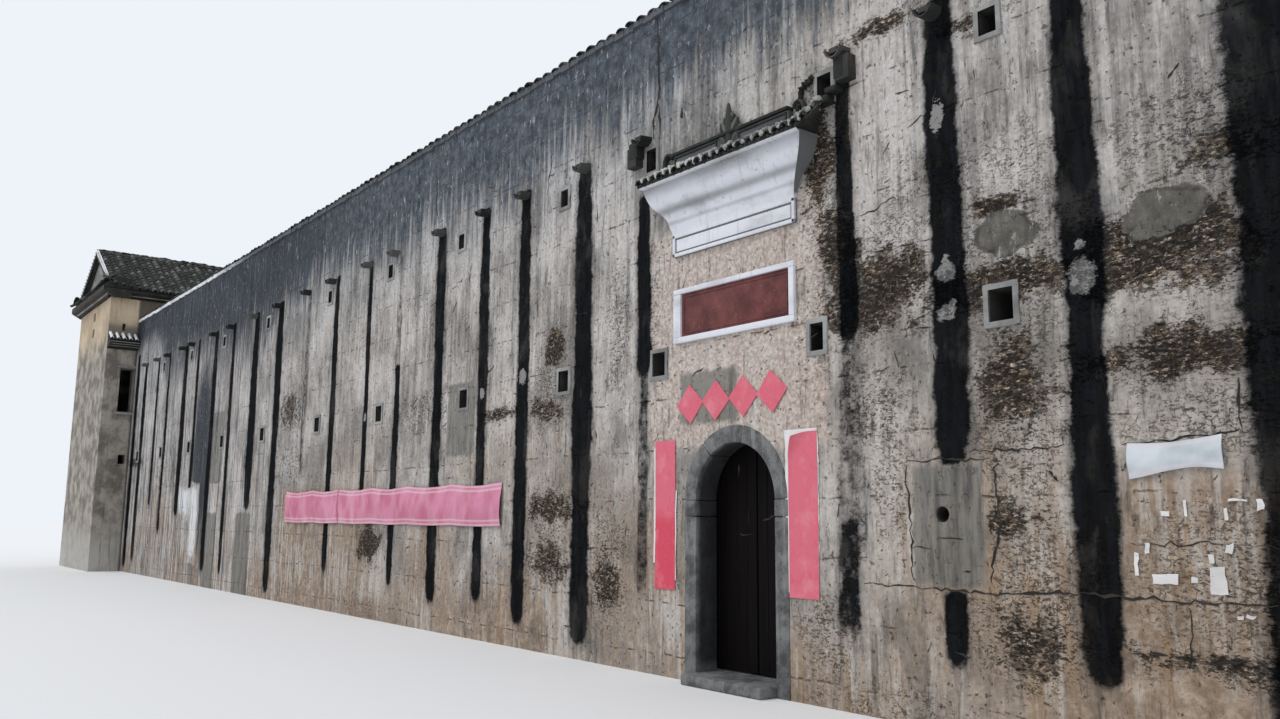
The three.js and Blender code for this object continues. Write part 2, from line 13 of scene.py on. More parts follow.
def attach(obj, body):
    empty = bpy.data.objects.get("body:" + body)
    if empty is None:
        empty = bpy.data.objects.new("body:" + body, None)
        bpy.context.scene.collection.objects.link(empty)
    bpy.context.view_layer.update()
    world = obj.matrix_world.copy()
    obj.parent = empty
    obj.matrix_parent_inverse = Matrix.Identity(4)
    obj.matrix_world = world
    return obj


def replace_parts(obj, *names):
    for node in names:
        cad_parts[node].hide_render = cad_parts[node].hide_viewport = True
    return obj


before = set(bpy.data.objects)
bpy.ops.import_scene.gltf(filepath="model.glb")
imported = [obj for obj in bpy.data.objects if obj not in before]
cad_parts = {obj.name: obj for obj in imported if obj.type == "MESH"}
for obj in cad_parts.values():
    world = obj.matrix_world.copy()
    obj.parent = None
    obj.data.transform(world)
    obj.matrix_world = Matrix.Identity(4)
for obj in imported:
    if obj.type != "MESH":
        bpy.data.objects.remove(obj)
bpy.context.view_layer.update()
bpy.ops.object.select_all(action="DESELECT")

# %% [markdown]
# The model is half the size of the real house. Surfaces are easier to think about at their real size, so
# the sizes below are real metres, and HALF turns them into the model's. Heights count from the ground,
# and places along the front wall count from the middle of the gate, with the right hand positive.

# %% Sizes that the pieces share
HALF = 0.5
FACE_Y = -10.0  # the front wall's outer face, in the model
COAT = 0.016  # how far the plaster stands in front of the wall, real metres
WALL_HEIGHT = 7.336
BODY = "house"

# %% [markdown]
# The camera stands on the ground in front of the gate and looks left along the wall. Its place, its turn
# and its lens come from the level and upright lines of the photograph.

# %% Camera
CAMERA_PLACE = Vector((3.7775, -13.535, 0.80))
YAW, PITCH, ROLL = math.radians(52.12), math.radians(8.72), math.radians(-0.484)
FOCAL, IMAGE_WIDTH = 1042.9, 1280  # pixels

bpy.ops.object.camera_add(location=CAMERA_PLACE)
camera = bpy.context.object
camera.name = "camera"
forward = Vector((-math.sin(YAW) * math.cos(PITCH), math.cos(YAW) * math.cos(PITCH), math.sin(PITCH)))
level = Vector((math.cos(YAW), math.sin(YAW), 0))
down = forward.cross(level)
right = math.cos(ROLL) * level + math.sin(ROLL) * down
under = -math.sin(ROLL) * level + math.cos(ROLL) * down
camera.rotation_euler = Matrix((right, -under, -forward)).transposed().to_euler()
camera.data.sensor_width = 36
camera.data.lens = camera.data.sensor_width * FOCAL / IMAGE_WIDTH
camera.data.clip_end = 500
bpy.context.scene.camera = camera
print("lens:", round(camera.data.lens, 2), "mm")

# %% [markdown]
# The day is grey and bright. A pale sky all round gives soft shadows, and one wide sun, high and in front
# of the wall, gives the reliefs a little shape. The floor is plain and pale.

# %% Light and floor
scene = bpy.context.scene
scene.view_settings.view_transform = "Standard"
world = bpy.data.worlds.new("sky")
scene.world = world
world.use_nodes = True
sky = world.node_tree.nodes["Background"]
sky.inputs["Color"].default_value = (0.90, 0.94, 1.0, 1)
sky.inputs["Strength"].default_value = 0.95

bpy.ops.object.light_add(type="SUN", rotation=(math.radians(38), 0, math.radians(-28)))
sun = bpy.context.object
sun.data.energy = 0.9
sun.data.angle = math.radians(24)
sun.data.color = (1.0, 0.98, 0.95)

bpy.ops.mesh.primitive_plane_add(size=400)
floor = bpy.context.object
floor.name = "floor"


# %% [markdown]
# Materials are node trees. Short helpers keep them readable: one adds a node and fills its sockets, one
# mixes two colours by a mask, one turns a number into a soft mask. Each finds the tree by its sockets.

# %% Helpers for materials
def node(tree, kind, settings=None, **inputs):
    """Adds a shader node. An input that is a socket is linked, and any other is set as a value."""
    made = tree.nodes.new("ShaderNode" + kind)
    for key, value in (settings or {}).items():
        setattr(made, key, value)
    for key, value in inputs.items():
        socket = made.inputs[key.replace("_", " ")]
        if isinstance(value, bpy.types.NodeSocket):
            tree.links.new(value, socket)
        else:
            socket.default_value = value
    return made


def fill(socket, value):
    if isinstance(value, bpy.types.NodeSocket):
        socket.id_data.links.new(value, socket)
    elif isinstance(value, tuple):
        socket.default_value = (*value, 1)[:4]
    else:
        socket.default_value = value


def tree_of(*values):
    """The node tree of the first socket among some values."""
    return next(value.id_data for value in values if isinstance(value, bpy.types.NodeSocket))


def mix(mask, first, second, blend="MIX"):
    """The second colour over the first where the mask is 1."""
    made = node(tree_of(mask, first, second), "Mix", {"data_type": "RGBA", "blend_type": blend})
    for index, value in ((0, mask), (6, first), (7, second)):
        fill(made.inputs[index], value)
    return made.outputs[2]


def math_node(operation, first, second=0.0):
    made = node(tree_of(first, second), "Math", {"operation": operation})
    fill(made.inputs[0], first)
    fill(made.inputs[1], second)
    return made.outputs[0]


def both(first, second):
    """The product: 1 where both are 1."""
    return math_node("MULTIPLY", first, second)


def over(color, where, share, tint, blend="MIX"):
    """The colour with a tint over it where the mask is, as strongly as share says."""
    return mix(both(where, share), color, tint, blend)


def mask(value, low, high):
    """0 below low, 1 above high, and a smooth rise between them. With low over high it falls."""
    flip = low > high
    ends = {"To_Min": 1.0, "To_Max": 0.0} if flip else {"To_Min": 0.0, "To_Max": 1.0}
    made = node(
        value.id_data, "MapRange", {"interpolation_type": "SMOOTHSTEP"},
        Value=value, From_Min=min(low, high), From_Max=max(low, high), **ends,
    )
    return made.outputs[0]


def place(tree, stretch=(1, 1, 1)):
    """The point of the surface in the model's own metres, stretched along its axes."""
    coordinates = node(tree, "TexCoord").outputs["Object"]
    return node(tree, "Mapping", Vector=coordinates, Scale=stretch).outputs[0]


def noise(vector, scale, detail=4.0, roughness=0.55, distortion=0.0):
    return node(
        vector.id_data, "TexNoise", Vector=vector, Scale=scale, Detail=detail, Roughness=roughness,
        Distortion=distortion,
    ).outputs["Fac"]


def new_material(name):
    material = bpy.data.materials.new(name)
    material.use_nodes = True
    return material, material.node_tree


def finish_material(material, color, height, strength, distance, roughness, **others):
    """Gives the shader its colour, a bump of some strength and distance, and its plain values."""
    tree = material.node_tree
    shader = tree.nodes["Principled BSDF"]
    bump = node(tree, "Bump", Strength=strength, Distance=distance, Height=height)
    tree.links.new(color, shader.inputs["Base Color"])
    tree.links.new(bump.outputs[0], shader.inputs["Normal"])
    for key, value in {"Roughness": roughness, **others}.items():
        fill(shader.inputs[key.replace("_", " ")], value)
    return material


# %% [markdown]
# Rain and age mark every outer surface of this house in the same way, so that part is a node group. It
# gives back four masks: broad clouds, upright runs of rain, small pits, and the fine grain of lime and
# sand, which also serves as a height for the bump.

# %% Node group: weather
def weather_group():
    tree = bpy.data.node_groups.new("weather", "ShaderNodeTree")
    tree.interface.new_socket("Vector", in_out="INPUT", socket_type="NodeSocketVector")
    for name in ("Clouds", "Runs", "Pits", "Grain"):
        tree.interface.new_socket(name, in_out="OUTPUT", socket_type="NodeSocketFloat")
    vector = tree.nodes.new("NodeGroupInput").outputs["Vector"]
    out = tree.nodes.new("NodeGroupOutput")

    clouds = noise(vector, 1.7, 6, 0.62)
    tall = node(tree, "Mapping", Vector=vector, Scale=(1, 1, 0.07)).outputs[0]
    runs = noise(tall, 26, 6, 0.6, 0.3)
    spots = noise(vector, 42, 3, 0.55, 0.4)
    pits = mask(spots, 0.64, 0.72)
    grain = noise(vector, 150, 5, 0.65)
    for name, value in (("Clouds", clouds), ("Runs", runs), ("Pits", pits), ("Grain", grain)):
        tree.links.new(value, out.inputs[name])
    return tree


WEATHER = weather_group()


def weather(vector):
    made = node(vector.id_data, "Group", {"node_tree": WEATHER}, Vector=vector)
    return {socket.name: socket for socket in made.outputs}


# %% [markdown]
# Bare rammed earth shows where the plaster has gone: brown clay with pale pebbles in it, and dark gaps
# between them. Voronoi cells make the pebbles. It is a group too, because walls, towers and the rooms
# inside all use it.

# %% Node group: rammed earth
def earth_group():
    tree = bpy.data.node_groups.new("rammed earth", "ShaderNodeTree")
    tree.interface.new_socket("Vector", in_out="INPUT", socket_type="NodeSocketVector")
    tree.interface.new_socket("Color", in_out="OUTPUT", socket_type="NodeSocketColor")
    tree.interface.new_socket("Height", in_out="OUTPUT", socket_type="NodeSocketFloat")
    vector = tree.nodes.new("NodeGroupInput").outputs["Vector"]
    out = tree.nodes.new("NodeGroupOutput")

    flat = node(tree, "Mapping", Vector=vector, Scale=(1, 1, 2.2)).outputs[0]
    layers = noise(flat, 24, 7, 0.72)
    islands = noise(flat, 38, 5, 0.62, 0.5)
    cells = node(tree, "TexVoronoi", Vector=flat, Scale=60.0, Randomness=1.0)
    pebble = mask(cells.outputs["Distance"], 0.44, 0.12)
    tone = noise(vector, 7, 5, 0.6)
    clay = mix(mask(tone, 0.38, 0.66), (0.055, 0.036, 0.024), (0.225, 0.155, 0.100))
    lit = over(clay, pebble, 0.7, (0.42, 0.325, 0.24))
    lit = mix(mask(islands, 0.53, 0.57), lit, (0.56, 0.47, 0.38))
    gaps = mask(layers, 0.51, 0.45)
    color = over(lit, gaps, 0.9, (0.012, 0.009, 0.007))
    height = math_node("SUBTRACT", both(pebble, 0.45), gaps)
    tree.links.new(color, out.inputs["Color"])
    tree.links.new(height, out.inputs["Height"])
    return tree


EARTH = earth_group()


def rammed_earth(vector):
    made = node(vector.id_data, "Group", {"node_tree": EARTH}, Vector=vector)
    return made.outputs["Color"], made.outputs["Height"]


# %% [markdown]
# The wall's skin is a lime plaster that was put on in lifts, patched, and washed by a hundred years of
# rain. The plaster's mesh, made further down, carries an attribute for each thing that has its place:
# the streaks under the spouts, the stain under the coping, bare earth, cement patches, old whitewash
# and the warm tone near the ground. The material breaks their edges up with noise.

# %% Material: weathered plaster
def attribute(tree, name):
    return node(tree, "Attribute", {"attribute_name": name}).outputs["Fac"]


def ragged(value, rough, amount, low, high):
    """A mask whose edge is broken up by a noise."""
    shifted = math_node("MULTIPLY_ADD", rough, amount)
    shifted.node.inputs[2].default_value = -amount / 2
    return mask(math_node("ADD", value, shifted), low, high)


def bent(vector, scale, amount):
    """The same points, pushed about by a noise, so that straight cells grow crooked."""
    tree = vector.id_data
    push = node(tree, "TexNoise", Vector=vector, Scale=scale, Detail=5.0).outputs["Color"]
    moved = node(tree, "VectorMath", {"operation": "MULTIPLY_ADD"})
    tree.links.new(push, moved.inputs[0])
    moved.inputs[1].default_value = (amount, amount, amount)
    tree.links.new(vector, moved.inputs[2])
    return moved.outputs[0]


LIFTS_PER_METRE = 3.75


def plaster_material():
    material, tree = new_material("weathered plaster")
    here = place(tree)
    worn = weather(here)
    earth_color, earth_height = rammed_earth(here)
    edge = noise(here, 13, 6, 0.68)
    fine = noise(here, 55, 5, 0.6)
    upright = noise(place(tree, (1, 1, 0.12)), 34, 5, 0.62)
    broad = noise(place(tree, (1, 1, 0.45)), 4.2, 6, 0.62, 0.4)
    crumbs = noise(place(tree, (1, 1, 2.0)), 52, 6, 0.72, 0.4)
    bands = noise(place(tree, (1, 1, 0.04)), 11, 7, 0.74)
    axes = node(tree, "SeparateXYZ", Vector=here).outputs

    # cool tones above, warm ones below, and upright bands of both
    cool = mix(mask(worn["Clouds"], 0.36, 0.62), (0.29, 0.267, 0.245), (0.57, 0.522, 0.485))
    warm = mix(mask(edge, 0.35, 0.68), (0.27, 0.20, 0.145), (0.50, 0.40, 0.32))
    warm = over(warm, mask(bands, 0.53, 0.60), 0.75, (0.34, 0.22, 0.115))
    color = mix(ragged(attribute(tree, "warm"), edge, 0.7, 0.25, 0.75), cool, warm)
    high = mask(axes["Z"], 0.9, 2.2)
    color = over(color, both(mask(bands, 0.50, 0.44), high), 0.45, (0.66, 0.64, 0.62))
    color = over(color, both(mask(bands, 0.53, 0.59), high), 0.50, (0.125, 0.125, 0.13))
    smudge = both(mask(broad, 0.52, 0.68), 0.50)
    color = mix(smudge, color, (0.10, 0.098, 0.094))
    clean = ragged(attribute(tree, "clean"), edge, 0.5, 0.2, 0.6)
    color = mix(both(clean, 0.9), color,
                mix(mask(fine, 0.3, 0.7), (0.50, 0.41, 0.36), (0.68, 0.58, 0.52)))
    pale = mask(both(worn["Runs"], worn["Clouds"]), 0.25, 0.36)
    color = over(color, pale, 0.55, (0.66, 0.635, 0.605))
    washed = both(mask(axes["X"], -4.0, -10.0), mask(worn["Runs"], 0.49, 0.58))
    color = over(color, washed, 0.7, (0.66, 0.67, 0.69))
    sooty = mask(upright, 0.55, 0.70)
    color = over(color, sooty, 0.50, (0.080, 0.075, 0.070))
    tint = both(both(mask(axes["Z"], 2.2, 3.2), mask(axes["X"], 0.5, -0.5)), 0.6)
    color = mix(tint, color, (0.82, 0.89, 0.97), "MULTIPLY")
    near = both(mask(axes["X"], 0.30, 0.85), mask(axes["Z"], 2.0, 1.2))
    color = over(color, near, 0.45, (1.0, 0.955, 0.895), "MULTIPLY")
    mottle = mask(fine, 0.30, 0.75)
    color = mix(0.45, color, mix(mottle, (0.42, 0.40, 0.37), (1.0, 1.0, 1.0)), "MULTIPLY")

    # level seams between the lifts
    bend = both(noise(here, 2.2, 4, 0.6), 0.22)
    lift = math_node("ADD", both(axes["Z"], LIFTS_PER_METRE), bend)
    seam = math_node("ABSOLUTE", math_node("SUBTRACT", math_node("FRACT", lift), 0.5))
    seam = both(mask(seam, 0.020, 0.004), mask(edge, 0.50, 0.62))
    color = over(color, seam, 0.7, (0.055, 0.045, 0.036))
    color = over(color, worn["Pits"], 0.75, (0.06, 0.047, 0.036))

    # crumbled plaster: crooked cracks, holes and pale chips
    crumbled = ragged(attribute(tree, "crumbled"), edge, 1.5, 0.10, 0.95)
    crooked = bent(here, 24.0, 0.08)
    cells = node(tree, "TexVoronoi", {"feature": "DISTANCE_TO_EDGE"}, Vector=crooked, Scale=30.0)
    cracks = both(mask(cells.outputs["Distance"], 0.07, 0.01), mask(edge, 0.50, 0.60))
    holes = mask(crumbs, 0.55, 0.62)
    gaps = both(crumbled, math_node("MAXIMUM", both(cracks, 0.75), holes))
    chips = both(crumbled, mask(crumbs, 0.46, 0.36))
    color = over(color, chips, 0.35, (0.56, 0.50, 0.42))
    color = over(color, gaps, 0.85, (0.050, 0.034, 0.023))

    # bare earth, then the patches of cement, the two ovals and the lime
    rough = mix(0.5, edge, crumbs)
    loose = ragged(attribute(tree, "earth"), fine, 1.6, -0.35, 0.35)
    color = over(color, loose, 0.30, (0.19, 0.145, 0.105))
    bare = ragged(attribute(tree, "earth"), rough, 2.2, 0.02, 0.18)
    color = over(color, bare, 0.94, earth_color)
    deepest = both(ragged(attribute(tree, "earth"), crumbs, 2.6, 0.22, 0.42), 0.68)
    color = mix(deepest, color, (0.020, 0.015, 0.011))
    smooth = mix(mask(upright, 0.4, 0.7), (0.205, 0.195, 0.172), (0.118, 0.116, 0.106))
    patch = ragged(attribute(tree, "cement"), edge, 0.12, 0.0, 0.06)
    color = over(color, patch, 0.85, smooth)
    oval = attribute(tree, "mend")
    mended = mix(mask(crumbs, 0.40, 0.60), (0.085, 0.080, 0.066), (0.175, 0.165, 0.140))
    mended = over(mended, mask(rough, 0.46, 0.54), 0.6, (0.030, 0.027, 0.022))
    color = over(color, ragged(oval, edge, 0.12, -0.01, 0.02), 0.8, mended)
    rim = both(ragged(oval, rough, 0.16, -0.045, -0.02), mask(oval, 0.045, 0.0))
    color = over(color, rim, 0.75, (0.040, 0.034, 0.028))
    lime = ragged(attribute(tree, "lime"), upright, 0.5, 0.0, 0.12)
    color = over(color, lime, 0.9, (0.70, 0.71, 0.72))

    # what rain leaves: slate under the coping, strokes, the black streaks, and dabs of mortar on them
    stain = ragged(attribute(tree, "stain"), worn["Runs"], 1.7, 0.0, 0.62)
    slate = mix(mask(edge, 0.35, 0.7), (0.024, 0.034, 0.048), (0.100, 0.121, 0.146))
    darkest = both(mask(axes["X"], -4.0, -7.0), 0.95)
    deep_slate = mix(mask(worn["Runs"], 0.50, 0.68), (0.010, 0.016, 0.025), (0.042, 0.056, 0.073))
    slate = mix(darkest, slate, deep_slate)
    color = over(color, stain, 0.93, slate)
    far = mask(axes["X"], -4.0, -9.0)
    color = over(color, both(far, mask(bands, 0.48, 0.42)), 0.66, (0.036, 0.040, 0.048))
    strokes = noise(place(tree, (1, 1, 0.30)), 44, 6, 0.74, 0.3)
    dull = math_node("SUBTRACT", 0.55, both(clean, 0.45))
    color = over(color, mask(strokes, 0.57, 0.65), dull, (0.045, 0.042, 0.042))
    color = over(color, mask(strokes, 0.41, 0.34), both(high, dull), (0.60, 0.60, 0.61))
    halo = ragged(attribute(tree, "streak"), upright, 1.5, -0.50, 0.30)
    color = over(color, halo, 0.50, (0.040, 0.040, 0.043))
    frayed = mix(0.3, edge, crumbs)
    streak = ragged(attribute(tree, "streak"), frayed, 0.95, -0.03, 0.22)
    solid = math_node("SUBTRACT", 0.98, both(mask(broad, 0.50, 0.66), 0.16))
    moss = mix(mask(upright, 0.40, 0.72), (0.0030, 0.0036, 0.0048), (0.0085, 0.0100, 0.0135))
    moss = over(moss, mask(edge, 0.50, 0.68), 0.7, (0.010, 0.013, 0.008))
    moss = over(moss, mask(crumbs, 0.36, 0.28), 0.2, (0.075, 0.070, 0.062))
    color = over(color, streak, solid, moss)
    dab = ragged(attribute(tree, "dab"), rough, 2.6, 0.10, 0.22)
    color = over(color, dab, 0.8, (0.30, 0.295, 0.28))

    height = both(worn["Grain"], 0.35)
    height = math_node("ADD", height, both(fine, 0.5))
    height = math_node("SUBTRACT", height, both(worn["Pits"], 1.2))
    height = math_node("SUBTRACT", height, both(seam, 1.5))
    height = math_node("SUBTRACT", height, both(gaps, 2.0))
    worn_away = both(bare, math_node("SUBTRACT", earth_height, 0.8))
    height = math_node("ADD", height, both(worn_away, 1.8))
    shine = math_node("SUBTRACT", 0.2, both(streak, 0.18))
    return finish_material(material, color, height, 0.95, 0.007, 0.93, Specular_IOR_Level=shine)


PLASTER = plaster_material()
print("plaster nodes:", len(PLASTER.node_tree.nodes))


# %% [markdown]
# Every piece ends the same way: its place is put into its mesh, it gets its material, and it rides on a
# body of the frame. The house has three bodies: the house itself and the two leaves of its gate.

# %% Helpers for pieces
def give_material(piece, material):
    piece.data.materials.clear()
    piece.data.materials.append(material)


def choose(piece):
    """Selects only this piece."""
    bpy.ops.object.select_all(action="DESELECT")
    piece.select_set(True)
    bpy.context.view_layer.objects.active = piece


def finish_piece(piece, name, material, body=BODY, smooth=40):
    choose(piece)
    bpy.ops.object.transform_apply(location=True, rotation=True, scale=True)
    bpy.ops.object.shade_smooth_by_angle(angle=math.radians(smooth))
    piece.name = piece.data.name = name
    give_material(piece, material)
    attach(piece, body)
    piece.select_set(False)
    print(f"{name}: {len(piece.data.polygons)} faces")
    return piece


def points(mesh):
    co = np.empty(len(mesh.vertices) * 3)
    mesh.vertices.foreach_get("co", co)
    return co.reshape(-1, 3)


def set_points(mesh, co):
    mesh.vertices.foreach_set("co", co.ravel())
    mesh.update()


def set_values(piece, name, values):
    """Gives each point a value that a material can read. One number serves for all points."""
    size = len(piece.data.vertices)
    made = piece.data.attributes.new(name, "FLOAT", "POINT")
    made.data.foreach_set("value", np.full(size, values, np.float32))


def select_faces(mesh, chosen):
    """Selects faces by a list of true and false, in object mode."""
    mesh.vertices.foreach_set("select", np.zeros(len(mesh.vertices), bool))
    mesh.edges.foreach_set("select", np.zeros(len(mesh.edges), bool))
    mesh.polygons.foreach_set("select", np.asarray(chosen, bool))


def face_middles(mesh):
    middles = np.empty(len(mesh.polygons) * 3)
    mesh.polygons.foreach_get("center", middles)
    return middles.reshape(-1, 3)


# %% [markdown]
# The four outer walls are alike, so they share one way of naming places: u runs along the wall from its
# middle, out is how far a point stands in front of the face, and z is its height. The frame's own mesh
# says where the window rims and the spouts are.

# %% Walls and their places
HALF_WIDTH, HALF_DEPTH = 15.225, 10.0
FRONT_SPAN, SIDE_SPAN = 13.0, 7.775
WALLS = {
    "front": {"turn": 0.0, "away": HALF_DEPTH, "span": FRONT_SPAN,
              "nodes": ["front_wall_left", "front_wall_right", "front_wall_over_gate"]},
    "back": {"turn": math.pi, "away": HALF_DEPTH, "span": FRONT_SPAN, "nodes": ["back_wall"]},
    "left": {"turn": -math.pi / 2, "away": HALF_WIDTH, "span": SIDE_SPAN, "nodes": ["left_wall"]},
    "right": {"turn": math.pi / 2, "away": HALF_WIDTH, "span": SIDE_SPAN, "nodes": ["right_wall"]},
}


def from_wall(wall, u, out, z):
    """Model points from places on a wall, all in the model's metres."""
    sin, cos = math.sin(wall["turn"]), math.cos(wall["turn"])
    x = sin * wall["away"] + u * cos + out * sin
    y = -cos * wall["away"] + u * sin - out * cos
    return np.stack([x, y, np.broadcast_to(z, np.shape(x))], -1)


def on_front(u, out, z):
    """Model points from real places on the front wall."""
    return from_wall(WALLS["front"], u * HALF, out * HALF, z * HALF)


def to_wall(wall, co):
    """The other way round: places on a wall from model points."""
    sin, cos = math.sin(wall["turn"]), math.cos(wall["turn"])
    x, y = co[:, 0] - sin * wall["away"], co[:, 1] + cos * wall["away"]
    return np.stack([x * cos + y * sin, x * sin - y * cos, co[:, 2]], -1)


def standing_out(wall, reach, rows, gap):
    """The rectangles where the frame's wall stands out by reach, looked for in rows of heights."""
    found = []
    for name in wall["nodes"]:
        places = to_wall(wall, points(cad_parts[name].data))
        places = places[np.abs(places[:, 1] - reach) < 2e-4]
        for low, high in rows:
            row = places[(places[:, 2] > low) & (places[:, 2] < high)]
            row = row[np.argsort(row[:, 0])]
            for group in np.split(row, np.nonzero(np.diff(row[:, 0]) > gap)[0] + 1):
                if len(group):
                    found.append((*group[:, 0][[0, -1]], group[:, 2].min(), group[:, 2].max()))
    return found


RIM_RELIEF, RIM_WIDTH = 0.0125, 0.021
SPOUT_REACH = 0.075
for name, wall in WALLS.items():
    wall["rims"] = standing_out(wall, RIM_RELIEF, [(1.4, 2.2), (2.4, 3.2)], 0.18)
    wall["spouts"] = [(a + b) / 2 for a, b, *_ in standing_out(wall, SPOUT_REACH, [(2.8, 3.1)], 0.1)]
    print(name, len(wall["rims"]), "windows,", len(wall["spouts"]), "spouts")

# %% [markdown]
# A smooth random field gives the plaster its uneven depth and bends the edges of stains. It is a table of
# random numbers, read with soft steps between its entries, so it gives the same wall on every run.

# %% A smooth random field
TABLE = np.random.default_rng(11).random((256, 256))


def field(u, z, cell, layer=0):
    """Between 0 and 1, with bumps about as large as cell."""
    p, q = u / cell + 17.3 * layer, z / cell + 5.1 * layer
    i, j = np.floor(p).astype(int), np.floor(q).astype(int)
    s, t = p - i, q - j
    s, t = s * s * (3 - 2 * s), t * t * (3 - 2 * t)
    a, b = TABLE[i % 256, j % 256], TABLE[(i + 1) % 256, j % 256]
    c, d = TABLE[i % 256, (j + 1) % 256], TABLE[(i + 1) % 256, (j + 1) % 256]
    return (a * (1 - s) + b * s) * (1 - t) + (c * (1 - s) + d * s) * t


def step(value, low, high):
    """0 below low, 1 above high, and a smooth rise between them."""
    t = np.clip((value - low) / (high - low), 0, 1)
    return t * t * (3 - 2 * t)


def within_oval(u, z, x, height, across, tall):
    """1 in the middle of an oval, 0 on its edge, and below 0 outside."""
    return 1 - np.hypot((u - x) / across, (z - height) / tall)


def within_box(u, z, left, right, low, high):
    """Metres inside a box's edge, and below 0 outside."""
    return np.minimum(np.minimum(u - left, right - u), np.minimum(z - low, high - z))


# %% [markdown]
# Now the marks of the front wall, at their real places. A streak is a place, a width, its top and its
# foot, and how dark it is. Bare earth is an oval with a depth. The other walls get streaks and bare
# patches of the same kinds, drawn by lot.

# %% The marks on the walls
STREAKS = [  # place, width, top, foot, darkness
    (-1.45, 0.27, 5.25, 3.10, 1.0), (-1.44, 0.19, 3.30, 0.70, 0.66),
    (1.49, 0.25, 5.70, 3.12, 1.0), (1.50, 0.30, 3.30, 1.15, 0.62), (1.45, 0.32, 1.60, 0.55, 0.72),
    (2.55, 0.36, 6.00, 2.06, 1.0), (2.54, 0.34, 2.15, 1.05, 1.0), (2.52, 0.28, 1.10, 0.45, 1.0),
    (3.70, 0.34, 6.00, 0.45, 1.0), (5.04, 0.60, 6.00, 0.10, 1.0),
    (-2.64, 0.40, 5.95, 0.15, 1.0), (-4.00, 0.34, 5.95, 0.25, 1.0), (-5.06, 0.28, 5.95, 0.45, 1.0),
    (-6.40, 0.32, 5.95, 0.35, 1.0), (-7.80, 0.15, 5.80, 4.00, 0.62), (-7.80, 0.22, 4.00, 0.50, 0.95),
    (-9.00, 0.20, 5.95, 1.90, 1.0), (-10.47, 0.25, 5.95, 0.60, 1.0), (-11.85, 0.16, 5.95, 2.20, 0.62),
    (-13.43, 0.38, 5.95, 0.10, 1.0), (-14.92, 0.46, 5.95, 1.70, 1.0), (-16.50, 0.26, 5.95, 0.30, 0.9),
    (-17.85, 0.34, 5.95, 0.30, 0.95), (-19.30, 0.26, 5.95, 1.70, 0.9), (-20.42, 0.42, 5.95, 1.55, 1.0),
    (-22.05, 0.24, 5.95, 1.05, 0.9), (-23.20, 0.27, 5.95, 1.80, 0.9), (-24.65, 0.38, 5.95, 0.30, 0.95),
    (-25.60, 0.40, 6.30, 0.10, 0.9),
]
BARE = [  # place, height, half across, half tall, depth
    (1.74, 3.58, 0.56, 0.40, 1.0), (3.00, 3.44, 0.66, 0.20, 0.8), (4.30, 3.54, 0.62, 0.34, 1.0),
    (4.05, 3.36, 0.40, 0.20, 1.0), (4.42, 2.72, 0.62, 0.20, 0.8), (3.11, 2.66, 0.30, 0.42, 0.3),
    (1.20, 5.00, 0.20, 0.50, 0.4), (1.34, 4.10, 0.18, 0.36, 0.5), (4.60, 0.72, 0.60, 0.08, 0.2),
    (2.98, 1.62, 0.28, 0.13, 0.2), (3.12, 0.78, 0.30, 0.24, 0.2), (4.75, 4.05, 0.44, 0.14, 0.2),
    (1.95, 5.98, 0.40, 0.07, 0.1), (2.85, 5.66, 0.34, 0.06, 0.1), (3.02, 4.06, 0.32, 0.08, 0.2),
    (-3.28, 3.70, 0.24, 0.26, 0.5), (-3.45, 2.95, 0.36, 0.14, 0.3), (-3.30, 1.72, 0.50, 0.16, 0.2),
    (-3.35, 1.10, 0.46, 0.24, 0.3), (-8.65, 1.20, 0.42, 0.36, 1.6), (-4.55, 2.98, 0.42, 0.08, 0.1),
    (-2.10, 0.85, 0.24, 0.30, 0.1), (-12.60, 3.60, 0.50, 0.30, 0.0), (-25.10, 3.10, 0.80, 0.12, 0.1),
]
CEMENT = [  # left, right, low, high
    (2.11, 2.82, 1.08, 2.08), (-6.07, -5.20, 2.43, 3.53), (-0.84, 0.10, 2.55, 3.15),
    (-17.90, -16.75, 2.30, 4.00), (-15.60, -14.60, -0.10, 1.70), (-17.80, -16.90, -0.10, 1.70),
]
OVALS = [(3.04, 3.81, 0.25, 0.15), (4.31, 3.72, 0.33, 0.17)]  # old mends: place, height, half sizes
LIME = [(-20.25, -19.10, 1.60, 2.30), (-19.10, -18.50, 0.60, 2.30)]
DABS = [  # place, height, half sizes
    (2.53, 3.61, 0.11, 0.10), (2.54, 3.73, 0.05, 0.06), (2.52, 3.28, 0.11, 0.08), (2.58, 3.35, 0.05, 0.05),
    (3.69, 3.38, 0.13, 0.16), (3.69, 3.62, 0.05, 0.05), (2.50, 4.95, 0.08, 0.16), (-4.00, 3.42, 0.10, 0.12),
    (-5.06, 3.30, 0.07, 0.09), (-9.00, 3.25, 0.07, 0.08),
]
CRUMBLED = [  # place, height, half sizes
    (1.18, 4.75, 0.40, 0.95), (1.25, 3.90, 0.34, 0.60), (-1.28, 4.00, 0.16, 0.90), (3.00, 3.70, 0.75, 0.55),
    (2.00, 4.05, 0.55, 0.40), (4.50, 4.25, 0.85, 0.50), (1.20, 0.60, 0.50, 0.60), (-3.30, 3.30, 0.60, 0.90),
    (3.10, 2.10, 0.60, 0.75), (4.50, 2.30, 0.80, 0.40), (1.95, 1.90, 0.40, 0.70), (3.20, 1.10, 0.75, 0.90),
    (4.55, 1.25, 0.80, 0.80), (1.80, 2.55, 0.60, 0.60), (-1.95, 3.70, 0.34, 1.20), (-3.30, 1.40, 0.70, 0.90),
    (-6.70, 3.20, 1.60, 0.50), (-2.10, 1.20, 0.60, 0.90), (-12.60, 2.60, 1.40, 0.70),
    (-21.50, 2.60, 2.40, 0.80),
]
